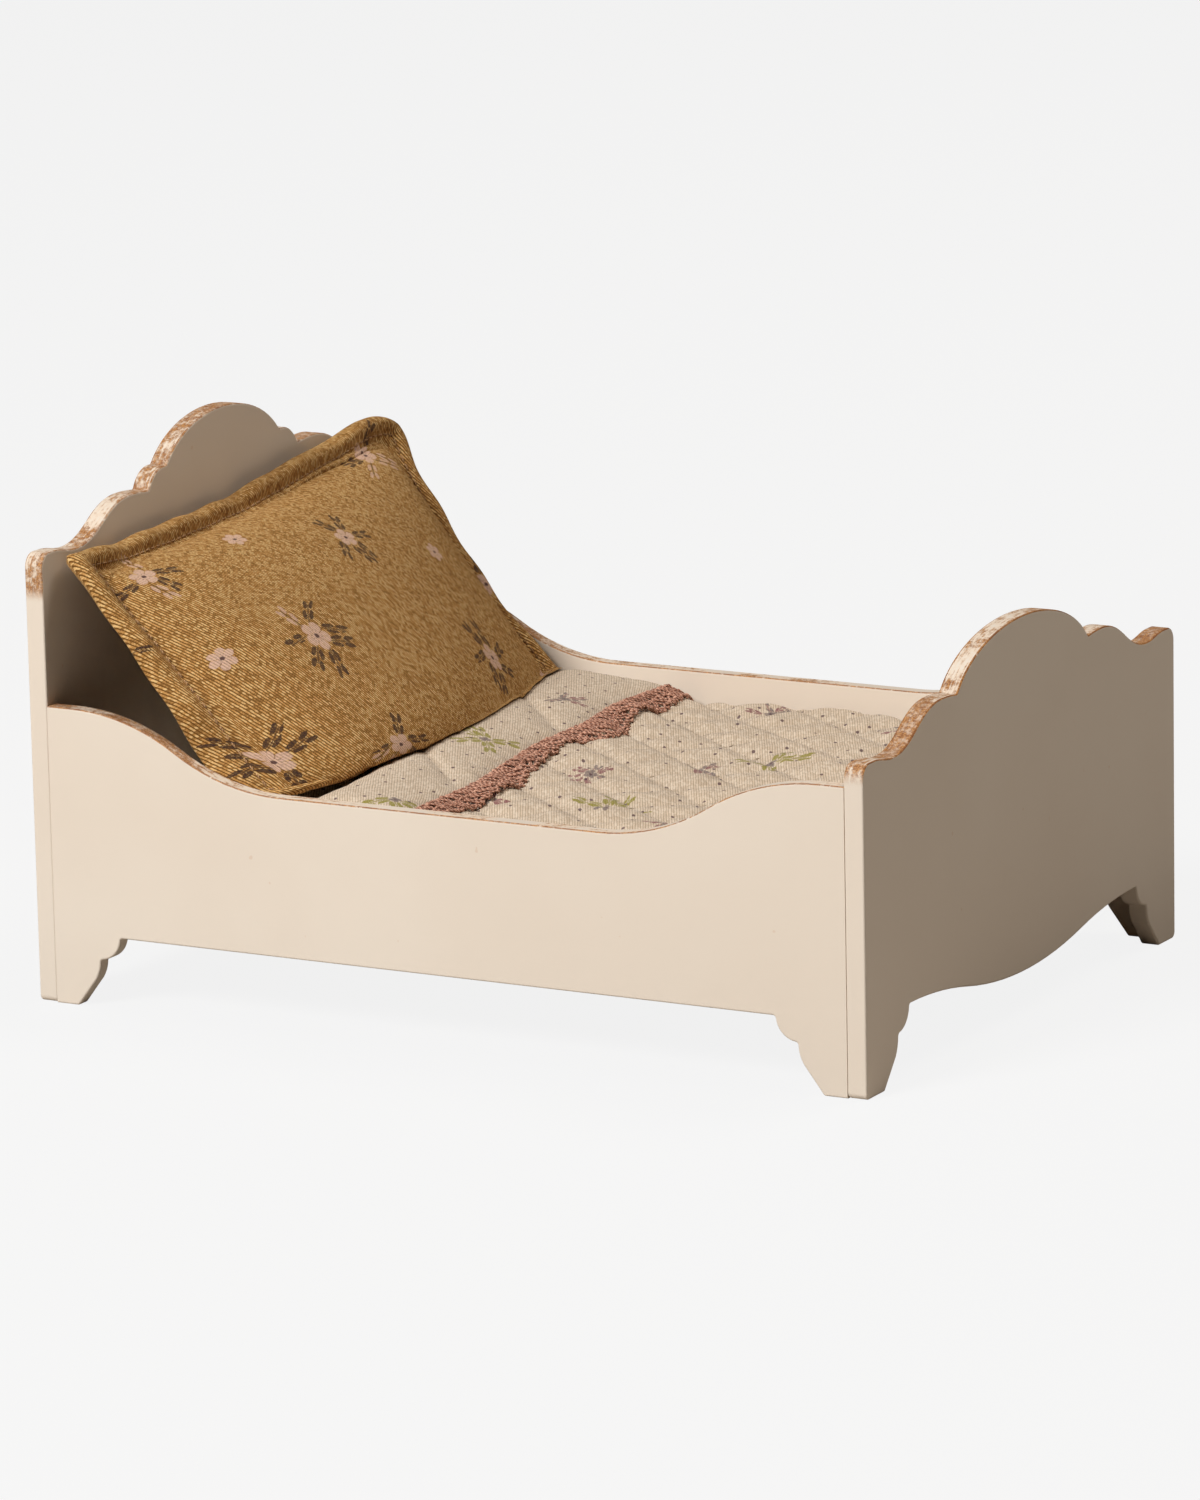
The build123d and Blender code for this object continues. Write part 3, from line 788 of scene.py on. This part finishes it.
def seam_gap(x, y, slope, shift):
    """The distance from the nearest of a family of quilting seams."""
    level = (y - slope * x - shift - seam_drift(x, slope)) / SEAM_SPACING
    return np.abs(level - np.round(level)) * SEAM_SPACING / math.hypot(1, slope)


def quilting(x, y):
    """The distance from the nearest quilting seam of either family."""
    return np.minimum(*[seam_gap(x, y, slope, shift) for slope, shift in FAMILIES])


def quilted_sheet(x, y, level, seams, puff_height, growth, seed):
    """A sheet of quilting settled by simulation: held along its seams and border, lifted by its wadding."""
    inside = np.minimum(1.0, seams / (6 * MM))
    puff = puff_height * (1 - (1 - inside) ** 2) ** 0.6
    z = level + puff + 0.12 * MM * waves(x, y, seed, 9 * MM) * inside
    points = np.stack([x, y, z], -1)
    rows, cols = x.shape
    held = seams < 0.62 * GRID_STEP
    held[0, :] = held[-1, :] = held[:, 0] = held[:, -1] = True
    found = settled(
        points.reshape(-1, 3), grid_faces(rows, cols), held.ravel(), growth, 22, lift=7.0, bending=0.3
    )
    found = found.reshape(rows, cols, 3)
    rise = found[..., 2] - level
    found[..., 2] = level + puff_height * 2.2 * np.tanh(rise / (puff_height * 2.2))
    return found


QUILT_ROWS = int(round((WELL_HIGH.y - WELL_LOW.y) / GRID_STEP)) + 1
QUILT_COLS = int(round((WELL_HIGH.x - WELL_LOW.x) / GRID_STEP)) + 1
row_y = np.linspace(WELL_LOW.y, WELL_HIGH.y, QUILT_ROWS)
qy, qx = np.meshgrid(row_y, np.linspace(WELL_LOW.x, WELL_HIGH.x, QUILT_COLS), indexing="ij")
from_edge = np.minimum.reduce([qy - WELL_LOW.y, WELL_HIGH.y - qy, qx - WELL_LOW.x, WELL_HIGH.x - qx])
rolled = unit(from_edge / (4 * MM))
quilt_level = QUILT_TOP - 1.1 * MM + 0.8 * MM * waves(qx, qy, 3, 70 * MM) - 2.4 * MM * (1 - rolled) ** 2
quilt_seams = np.minimum(quilting(qx, qy), from_edge + GRID_STEP)
quilt_sheet = quilted_sheet(qx, qy, quilt_level, quilt_seams, 1.9 * MM, 0.06, 5)


def quilt_height(x, y):
    """The height of the quilt's top at a place."""
    return between(quilt_sheet[..., 2], (y - WELL_LOW.y) / GRID_STEP, (x - WELL_LOW.x) / GRID_STEP)


def closed_pad(name, top, base_z, inset, materials):
    """A pad closed by a flat underside and a rounded side. top is a grid of points, x fastest."""
    r, c = top.shape[:2]
    under = top.copy()
    centre = top.reshape(-1, 3).mean(0)
    half = (top.reshape(-1, 3).max(0) - top.reshape(-1, 3).min(0)) / 2
    for k in (0, 1):
        under[..., k] = centre[k] + (top[..., k] - centre[k]) * (1 - inset / half[k])
    under[..., 2] = base_z + 0.25 * MM * waves(under[..., 0], under[..., 1], 8, 25 * MM) ** 2
    ring = edge_ring(r, c)
    rim_top = top.reshape(-1, 3)[ring]
    rim_under = under.reshape(-1, 3)[ring]
    bands = []
    for share in (0.25, 0.5, 0.75):
        bulge = inset * 0.9 * math.sin(math.pi * share)
        band = rim_top * (1 - share) + rim_under * share
        out = band[:, :2] - centre[:2]
        out /= np.maximum(np.abs(out / half[:2]).max(1), 1e-9)[:, None] * half[:2]
        out = np.where(np.abs(out) > 0.985, np.sign(out), 0.0)
        band[:, :2] += out * bulge
        bands.append(band)
    points = np.vstack([top.reshape(-1, 3), under.reshape(-1, 3), *bands])
    faces = grid_faces(r, c)
    which = [0] * len(faces)
    lower = grid_faces(r, c, r * c, flip=True)
    faces += lower
    which += [len(materials) - 1] * len(lower)
    count = len(ring)
    sides = [[2 * r * c + b * count + i for i in range(count)] for b in range(len(bands))]
    levels = [ring, *sides, [r * c + i for i in ring]]
    for upper, below in zip(levels, levels[1:]):
        for i in range(count):
            j = (i + 1) % count
            faces.append((upper[i], below[i], below[j], upper[j]))
            which.append(0)
    return mesh_object(name, points, faces, materials, points[:, :2], which)


OLIVE_SPRIGS = ((-30, -9), (22, -40), (33, 22), (72, -20), (80, 48), (-20, -70), (60, -66), (-52, 30))
MAUVE_SPRIGS = (
    (-35, 41), (3, -15), (8, 70), (20, 8), (52, -8), (50, 62), (88, 12), (44, -52), (-8, -48), (98, -50),
)
OATMEAL_CLOTH = oatmeal_print("oatmeal_print", OLIVE_SPRIGS, MAUVE_SPRIGS)
# The lining's second colour is partly painted shade in the weave's low spots; each thread's colours are
# painted highlight on its ply crests and painted shade in its grooves, besides the yarn's own tone.
LINING_CLOTH = plain_weave("lining_cotton", "D5C8B8", "A89A88", 0.5 * MM)
THREAD = yarn_look("sewing_thread", "CBB79F", "8F7C66", 1600.0)
THREAD_PINK = yarn_look("stitching_thread", "D8AE80", "9A7048", 1600.0)

quilt = closed_pad("quilt", quilt_sheet, QUILT_BASE, 1.6 * MM, [OATMEAL_CLOTH, LINING_CLOTH])
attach(quilt, "quilt")
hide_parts("quilt_backing", "quilt_wadding", "quilt_top")


SEAM_END = 3 * MM
UP = np.array([0.0, 0.0, 1.0])


def seam_threads():
    """The stitches along both families of the quilt's seams."""
    made = []
    x = np.linspace(WELL_LOW.x + SEAM_END, WELL_HIGH.x - SEAM_END, 400)
    for slope, shift in FAMILIES:
        for number in range(-20, 21):
            y = slope * x + shift + number * SEAM_SPACING + seam_drift(x, slope)
            kept = (y > WELL_LOW.y + SEAM_END) & (y < WELL_HIGH.y - SEAM_END)
            if kept.sum() > 8:
                path = np.stack([x[kept], y[kept], quilt_height(x[kept], y[kept])], 1)
                made += stitches(path, np.tile(UP, (len(path), 1)), 1.9 * MM, 0.8 * MM, 0.16 * MM)
    return made


quilt_threads = tubes_object("quilt_stitches", seam_threads(), THREAD)
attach(quilt_threads, "quilt")


# ---- the cuff


# The curves' knots are (y across the bed, value), in mm.
cuff_ridge_x = smooth_curve(((-79, -29), (-40, -33), (0, -39), (40, -44), (79, -49)))
cuff_ridge_z = smooth_curve(((-79, 56.0), (-40, 56.8), (0, 57.2), (40, 56.8), (79, 54.9)))
cuff_edge_x = smooth_curve(
    ((-79, -12.5), (-64, -13), (-45, -13.2), (-20, -17), (4, -20.6), (30, -21.5), (49, -24.5), (79, -23.5))
)
CUFF_EDGE_Z = 53.6
CUFF_BACK = 13.0
CUFF_FOOT_Z = 50.9
CUFF_LENGTH = 32 * MM
CUFF_COLS = 38
HALF_WELL = 79


def cuff_place(s, y):
    """A place on the cuff's upper side, in mm: s is 0 at its hidden head edge and 1 at its hem."""
    ridge_x, ridge_z, hem_x = cuff_ridge_x(y), cuff_ridge_z(y), cuff_edge_x(y)
    head_x = ridge_x - CUFF_BACK
    x = head_x + (hem_x - head_x) * s
    peak = CUFF_BACK / (hem_x - head_x)
    t = unit(s / peak)
    rise = np.sqrt(unit(1 - (1 - t) ** 2))
    back_z = CUFF_FOOT_Z + (ridge_z - CUFF_FOOT_Z) * rise
    u = unit((s - peak) / (1 - peak))
    front_z = ridge_z + (CUFF_EDGE_Z - ridge_z) * (u * u * (3 - 2 * u) * 0.55 + u * 0.45)
    lip = 1.9 * unit((s - 0.93) / 0.07) ** 2
    return x, np.where(s < peak, back_z, front_z) - lip


cy, cs = np.meshgrid(row_y / MM, np.linspace(0, 1, CUFF_COLS), indexing="ij")
cx, cz = cuff_place(cs, cy)
cuff_flat = np.stack([cx, cy], -1) * MM
side_gap = HALF_WELL - np.abs(cy)
side_roll = unit(side_gap / 4)
cuff_level = (cz - 0.5 - (cz - 51.0) * 0.35 * (1 - side_roll) ** 2) * MM
CUFF_SLOPE = -0.9
CUFF_SEAM_SHIFT = -60.5 * MM
CUFF_SEAM_SPACING = 57 * MM
cuff_seam = (cuff_flat[..., 1] - CUFF_SLOPE * cuff_flat[..., 0] - CUFF_SEAM_SHIFT) / CUFF_SEAM_SPACING
cuff_gap = np.abs(cuff_seam - np.round(cuff_seam)) * CUFF_SEAM_SPACING / math.hypot(1, CUFF_SLOPE)
cuff_edge_gap = np.minimum.reduce([(1 - cs) * CUFF_LENGTH, side_gap * MM, cs * CUFF_LENGTH])
cuff_seams = np.minimum(cuff_gap, cuff_edge_gap + GRID_STEP)
cuff_sheet = quilted_sheet(
    cuff_flat[..., 0], cuff_flat[..., 1], cuff_level, cuff_seams, 0.8 * MM, 0.02, 11
)
cuff_under = cuff_sheet.copy()
cuff_under[..., 2] = np.minimum(
    cuff_sheet[..., 2] - 1.2 * MM, quilt_height(cuff_sheet[..., 0], cuff_sheet[..., 1]) + 0.1 * MM
)


def cuff_height(s, y):
    """The height of the cuff's upper side, in mm, at s from its head edge and y across."""
    i = np.clip((y * MM - WELL_LOW.y) / GRID_STEP, 0, QUILT_ROWS - 1).round().astype(int)
    j = np.clip(s * (CUFF_COLS - 1), 0, CUFF_COLS - 1).round().astype(int)
    return cuff_sheet[i, j, 2] / MM


cuff = two_sided("quilt_cuff_roll", cuff_sheet, cuff_under, [OATMEAL_CLOTH], cuff_flat)
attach(cuff, "quilt")
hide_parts("quilt_cuff")


# ---- the lace


lace_width = smooth_curve((
    (-79, 4.6), (-64, 4.4), (-50, 6), (-32, 8), (-12, 5), (6, 4.2), (19, 5.2), (30, 8.6), (44, 6.2),
    (62, 6.8), (79, 5.0),
))
# The lace yarn's pale colour is also a painted highlight on the ply crests, and its dark one painted shade
# in the crevices.
LACE_YARN = yarn_look("rose_cotton", "E0AE95", "8E5A45", 900.0)
LACE_TUCK = 1.6


def lace_spot(y, t):
    """A place on the lace in metres: y across the bed in mm, t from 0 at the hem to 1 at its free edge."""
    x = cuff_edge_x(y) - LACE_TUCK + (lace_width(y) + LACE_TUCK) * t
    top = CUFF_EDGE_Z - 0.1
    rest = quilt_height(x * MM, y * MM) / MM + 0.55
    wave = 0.9 * waves(y, 0 * y, 21, 17) * t
    drop = t**1.4
    z = np.maximum(top * (1 - drop) + rest * drop + wave * 0.6, rest)
    return np.stack([x * MM, y * MM, z * MM], -1)


def lace_thread(seed, t_mid, t_swing, pitch, radius, sway, phase):
    """One yarn of the crochet: it swings across the lace, with loops where sway is above 0."""
    y = np.arange(-77.5, 77.5, 0.28)
    angle = math.tau * y / pitch + phase + 0.5 * waves(y, 0 * y, seed, 11)
    t = t_mid + t_swing * np.sin(angle) + 0.03 * waves(y, 0 * y, seed + 1, 5)
    spot = lace_spot(y + sway * np.sin(2 * angle), np.clip(t, 0, 1.05))
    spot[:, 2] += (0.34 * np.cos(angle + 0.6) + 0.15 * waves(y, 0 * y, seed + 2, 3)) * MM
    return tube(spot, radius * MM * (1 + 0.12 * waves(y, 0 * y, seed + 3, 2.5)), 6)


# Each yarn's middle and swing across the lace, its pitch and radius in mm, its sway and its phase.
LACE_THREADS = (
    (0.05, 0.045, 1.7, 0.36, 0.0, 0.0),
    (0.05, 0.045, 1.7, 0.36, 0.0, math.pi),
    (0.27, 0.20, 2.6, 0.27, 0.55, 0.0),
    (0.27, 0.20, 2.6, 0.27, 0.55, 2.1),
    (0.50, 0.05, 1.9, 0.32, 0.0, 0.0),
    (0.50, 0.05, 1.9, 0.32, 0.0, math.pi),
    (0.72, 0.22, 3.4, 0.27, 0.85, 0.0),
    (0.72, 0.20, 3.4, 0.27, 0.7, 1.9),
    (0.93, 0.09, 3.4, 0.34, 0.4, 0.0),
    (0.96, 0.09, 3.4, 0.32, 0.4, 2.6),
)
yarns = [lace_thread(31 + i, *shape) for i, shape in enumerate(LACE_THREADS)]
lace = tubes_object("quilt_lace_trim", yarns, LACE_YARN)
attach(lace, "quilt")
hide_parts("quilt_lace")


# ---- the pillow


PILLOW_HALF = 79.0
FLANGE = 6.0
PILLOW_TOP_X = -105.4
top_edge_z = smooth_curve((
    (-79, 110.6), (-64, 109.2), (-48, 108.9), (-20, 109.7), (5, 111.6), (30, 114.6), (48, 116.9),
    (62, 119.0), (68, 119.2), (79, 115.6),
))
bottom_x = smooth_curve((
    (-79, -62.0), (-74, -55.0), (-68, -48.5), (-60, -44.0), (-40, -41.5), (-11, -43.8), (30, -49.5),
    (60, -54.3), (79, -57.0),
))
bottom_z = smooth_curve((
    (-79, 54.6), (-68, 56.6), (-55, 57.8), (-30, 58.2), (0, 57.2), (30, 56.0), (60, 54.4), (79, 53.6),
))


def pillow_middle(u, v):
    """A point of the pillow's seam surface, in mm: u from -1 to 1 across, v from 0 at the top to 1."""
    near = unit(0.5 - 2 * u)
    corner = (0.045 - 0.027 * near) * np.abs(u) ** 9 * np.abs(2 * v - 1) ** 9
    u = u * (1 - corner)
    v = 0.5 + (v - 0.5) * (1 - corner * 1.3)
    y = u * PILLOW_HALF
    top_z, foot_x, foot_z = top_edge_z(y), bottom_x(y), bottom_z(y)
    length = np.hypot(foot_x - PILLOW_TOP_X, foot_z - top_z)
    run = v * (length + FLANGE)
    share = unit(run / length)
    x = PILLOW_TOP_X + (foot_x - PILLOW_TOP_X) * share
    z = top_z + (foot_z - top_z) * share
    over = np.clip(run - length, 0, FLANGE)
    tucked = unit((y + PILLOW_HALF) / 12)
    x = x + over * (0.45 - 0.25 * tucked)
    z = z - over * (0.65 - 0.25 * tucked)
    edge = np.sin(math.pi * unit(v) ** 0.8) * np.abs(u) ** 5
    bow = edge * (-2.2 + 2.8 * near)
    waist = 1 - 0.065 * (1 - near) * np.sin(math.pi * v)
    return np.stack([x + 0.65 * bow, y * waist, z + 0.76 * bow], -1)


PILLOW_ROWS, PILLOW_COLS = 82, 124
pv, pu = np.meshgrid(np.linspace(0, 1, PILLOW_ROWS), np.linspace(-1, 1, PILLOW_COLS), indexing="ij")
pillow_seam_surface = pillow_middle(pu, pv)
PILLOW_LENGTH = 95.0
inner_u = np.clip((1 - np.abs(pu)) * PILLOW_HALF / FLANGE, 0, None)
inner_v = np.clip(np.minimum(pv, 1 - pv) * PILLOW_LENGTH / FLANGE, 0, None)
inner = np.minimum(inner_u, inner_v)
in_belly = inner > 1.0


def belly(u, v, peak):
    """How far the filling pushes the cloth out, 0 at the seams to 1, fullest at peak down its length."""
    a = unit(1 - (u / (1 - FLANGE / PILLOW_HALF)) ** 2)
    low = FLANGE / PILLOW_LENGTH
    w = unit((v - low) / (1 - 2 * low))
    w = w ** (math.log(0.5) / math.log(peak))
    b = unit(4 * w * (1 - w))
    t = unit(u / (1 - FLANGE / PILLOW_HALF))
    far_side = (1 - 0.54 * t**1.5) * (1 - t**12) ** 0.5
    return np.where(u > 0, far_side, a**0.42) * b ** (0.56 - 0.26 * v)


pillow_normal = normals_of(pillow_seam_surface)
pillow_normal *= np.sign(pillow_normal[..., 0:1] + pillow_normal[..., 2:3])
flange_puff = 2.1 * unit(np.sin(math.pi * unit(inner))) ** 0.6 + 0.3
flange_wave = 0.8 * waves(pu * PILLOW_HALF, pv * PILLOW_LENGTH, 41, 26) * unit(1.3 - inner)
front_push = np.where(in_belly, 14.5 * belly(pu, pv, 0.50) + 0.5, flange_puff)
back_push = np.where(in_belly, 21.0 * belly(pu, pv, 0.62) + 0.5, flange_puff)
settle = unit((pv - 0.50) / 0.4)[..., None] * np.array([0.80, 0.0, -0.78])
front = pillow_seam_surface + pillow_normal * (front_push + flange_wave)[..., None]
front += settle * np.where(in_belly, front_push, 0.0)[..., None]
back = pillow_seam_surface - pillow_normal * (back_push - flange_wave)[..., None]
SEAM_MARGIN = 0.11
groove = np.abs(inner - 1.0) < SEAM_MARGIN
for sheet, sign in ((front, 1), (back, -1)):
    sheet[groove] = (pillow_seam_surface + pillow_normal * (flange_wave + sign * 0.15)[..., None])[groove]

HEADBOARD_X = -107.2
PILLOW_REACH = 80.2
CUFF_CLEARANCE = 0.75
QUILT_CLEARANCE = 0.4


def on_the_cuff(points):
    """Keeps a grid of pillow points, in mm, off the headboard, quilt and cuff."""
    x, y, z = points[..., 0], points[..., 1], points[..., 2]
    head_x = cuff_ridge_x(y) - CUFF_BACK
    s = (x - head_x) / (cuff_edge_x(y) - head_x)
    over_cuff = (s > -0.04) & (s < 1.04)
    cuff_z = np.where(over_cuff, cuff_height(unit(s), y) + CUFF_CLEARANCE, 0)
    quilt_z = quilt_height(x * MM, y * MM) / MM + QUILT_CLEARANCE
    points[..., 2] = np.maximum(z, np.maximum(cuff_z, quilt_z))
    points[..., 0] = np.maximum(x, HEADBOARD_X)
    points[..., 1] = np.clip(y, -PILLOW_REACH, PILLOW_REACH)
    return points


MOST_MOVED = 3.0


def settled_pillow():
    """The pillow's two sheets after the filling has pressed them out, with creases at the seams."""
    both = np.vstack([front.reshape(-1, 3), back.reshape(-1, 3)])
    held = np.tile(~(inner > 1.0 + SEAM_MARGIN).ravel(), 2)
    shell = two_sheet_faces(PILLOW_ROWS, PILLOW_COLS)
    found = settled(both * MM, shell, held, 0.03, 26, pressure=9.0, lift=-2.0, bending=0.4) / MM
    moved = found - both
    distance = np.linalg.norm(moved, axis=1)[:, None]
    found = both + moved * np.minimum(1.0, MOST_MOVED / np.maximum(distance, 1e-9))
    return found.reshape(2, PILLOW_ROWS, PILLOW_COLS, 3)


front, back = settled_pillow()
front, back = on_the_cuff(front), on_the_cuff(back)
PILLOW_BOUQUETS = (
    (8, 34), (-37, 58), (-69, 84), (30, 78), (-38, 91), (56, 10), (-62, 17), (-87, 41), (75, 62),
)
PILLOW_SINGLES = ((-25, 18), (-64, 53), (44, 49), (64, 92))
OCHRE_CLOTH = ochre_print("ochre_print", PILLOW_BOUQUETS, PILLOW_SINGLES)
CLOTH_LENGTH = 105.0
pillow_flat = np.stack([pu * PILLOW_HALF, pv * CLOTH_LENGTH], -1) * MM

pillow = two_sided("pillow", front * MM, back * MM, [OCHRE_CLOTH], pillow_flat)
smoother = pillow.modifiers.new("smoother", "SUBSURF")
smoother.levels = smoother.render_levels = 1
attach(pillow, "pillow")
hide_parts("pillow_filling", "pillow_cover_front", "pillow_cover_back")


def pillow_on(u, v, grid):
    """The values of a grid that belongs to the pillow's sheets, at u, v."""
    return between(grid, v * (PILLOW_ROWS - 1), (u + 1) / 2 * (PILLOW_COLS - 1))


def stitch_loop():
    """The pillow's stitch line as (u, v) arrays once round, a flange's width in from its edge."""
    a, b = FLANGE / PILLOW_HALF, FLANGE / PILLOW_LENGTH
    across = np.linspace(-1 + a, 1 - a, 260)
    down = np.linspace(b, 1 - b, 180)
    u = np.concatenate([across, 0 * down + 1 - a, across[::-1], 0 * down - 1 + a])
    v = np.concatenate([0 * across + b, down, 0 * across + 1 - b, down[::-1]])
    return u, v


su, sv = stitch_loop()
threads = []
for sheet, sign in ((front, 1.0), (back, -1.0)):
    spots, ups = pillow_on(su, sv, sheet), pillow_on(su, sv, pillow_normal * sign)
    threads += stitches(spots * MM + ups * 0.30 * MM, ups, 1.75 * MM, 0.65 * MM, 0.2 * MM)
pillow_threads = tubes_object("pillow_stitches", threads, THREAD_PINK)
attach(pillow_threads, "pillow")


# ---- the mattress


PAD_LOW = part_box("mattress_cover_bottom")[0]
PAD_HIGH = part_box("mattress_cover_top")[1]
PAD_ROWS, PAD_COLS = 54, 72
PAD_INSET = 0.4 * MM
my, mx = np.meshgrid(np.linspace(-1, 1, PAD_ROWS), np.linspace(-1, 1, PAD_COLS), indexing="ij")
half_x = (PAD_HIGH.x - PAD_LOW.x) / 2 - PAD_INSET
half_y = (PAD_HIGH.y - PAD_LOW.y) / 2 - PAD_INSET
PAD_MID_X = (PAD_HIGH.x + PAD_LOW.x) / 2


def rounded(a, b, corner):
    """Pulls the corners of a rectangle in, as sewn corners do."""
    return a * (1 - corner * (np.abs(a) ** 10) * (np.abs(b) ** 10))


px = PAD_MID_X + rounded(mx, my, 0.02) * half_x
py = rounded(my, mx, 0.03) * half_y
TUFTS = [(PAD_MID_X + i * 58 * MM, j * 44 * MM) for i in (-1, 0, 1) for j in (-1, 1)]
dimple = np.zeros_like(px)
for tx, ty in TUFTS:
    dimple += np.exp(-np.hypot(px - tx, py - ty) / (7 * MM))
pad_edge_gap = np.minimum((1 - np.abs(mx)) * half_x, (1 - np.abs(my)) * half_y)
edge_fall = unit(pad_edge_gap / (6 * MM))
pad_z = PAD_HIGH.z - 0.3 * MM - 2.6 * MM * (1 - edge_fall) ** 2 - 2.2 * MM * dimple
mattress_sheet = np.stack([px, py, pad_z + 0.15 * MM * waves(px, py, 51, 22 * MM)], -1)
# The ticking's second colour is partly painted shade in the weave's low spots.
TICKING = plain_weave("ticking_cotton", "E3DCCF", "B5AB9B", 0.55 * MM, stripe="9A8F86")
mattress = closed_pad("mattress", mattress_sheet, PAD_LOW.z, 1.2 * MM, [TICKING])
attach(mattress, "mattress")
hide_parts("mattress_core", "mattress_cover_top", "mattress_cover_bottom")

CORD_RADIUS = 0.7 * MM
upper_cord = mattress_sheet.reshape(-1, 3)[edge_ring(PAD_ROWS, PAD_COLS)]
lower_cord = upper_cord.copy()
upper_cord[:, 2] += 0.1 * MM
lower_cord[:, 2] = PAD_LOW.z + 2.2 * MM
cords = [tube(cord, CORD_RADIUS, 8, closed=True) for cord in (upper_cord, lower_cord)]
piping = tubes_object("mattress_piping", cords, TICKING)
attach(piping, "mattress")


# ---- floor, light and camera


def stage_floor():
    """A wide pale floor. It looks as white as the backdrop, and throws back a softer, warmer light."""
    m = Paints("floor_paper")
    paper = m.node("BsdfDiffuse", {"Color": (0.46, 0.41, 0.355, 1.0)})
    glow = m.node("Emission", {"Color": (1.0, 1.0, 1.0, 1.0), "Strength": 0.868})
    shade = m.node("BsdfDiffuse", {"Color": (0.05, 0.05, 0.05, 1.0)})
    seen = m.node("AddShader", {0: glow, 1: shade})
    material = m.seen_as(paper, seen)
    size = 9.0
    corners = [(-size, -size, 0), (size, -size, 0), (size, size, 0), (-size, size, 0)]
    floor = mesh_object("floor", np.array(corners, float), [(0, 1, 2, 3)], [material])


LIT_POINT = Vector((0.0, 0.0, 0.05))


def area_light(name, place, size, power, colour):
    data = bpy.data.lights.new(name, "AREA")
    data.shape = "DISK"
    data.size = size
    data.energy = power
    data.color = colour
    lamp = bpy.data.objects.new(name, data)
    lamp.location = place
    lamp.rotation_euler = (LIT_POINT - Vector(place)).to_track_quat("-Z", "Y").to_euler()
    scene.collection.objects.link(lamp)


stage_floor()
area_light("key", (-0.45, -1.6, 1.35), 0.8, 44.0, (1.0, 0.985, 0.965))
area_light("fill", (0.75, 1.1, 2.15), 1.2, 26.0, (1.0, 0.92, 0.83))

world = bpy.data.worlds.new("studio")
sky = Paints("studio", world)
backdrop = sky.node("Background", {"Color": (0.888, 0.888, 0.888, 1.0)})
ambient = sky.node("Background", {"Color": (1.0, 0.93, 0.86, 1.0), "Strength": 0.02})
sky.seen_as(ambient, backdrop, "OutputWorld")
scene.world = world

AZIMUTH, ELEVATION, ROLL = (math.radians(a) for a in (28.795, 12.984, -1.147))
DISTANCE = 1.9443
back_way = Vector(
    (math.sin(AZIMUTH) * math.cos(ELEVATION), -math.cos(AZIMUTH) * math.cos(ELEVATION), math.sin(ELEVATION))
)
right_way = Vector((math.cos(AZIMUTH), math.sin(AZIMUTH), 0.0))
up_way = back_way.cross(right_way)
rolled_right = math.cos(ROLL) * right_way + math.sin(ROLL) * up_way
rolled_up = -math.sin(ROLL) * right_way + math.cos(ROLL) * up_way
camera_data = bpy.data.cameras.new("camera")
camera_data.lens = 190.93
camera_data.sensor_width = 36.0
camera_data.shift_x = -0.0066
camera_data.shift_y = 0.0266
camera = bpy.data.objects.new("camera", camera_data)
turned = Matrix((rolled_right, rolled_up, back_way)).transposed().to_4x4()
camera.matrix_world = Matrix.Translation(Vector((0, 0, 0.045)) + back_way * DISTANCE) @ turned
scene.collection.objects.link(camera)
scene.camera = camera
scene.view_settings.view_transform = "Standard"
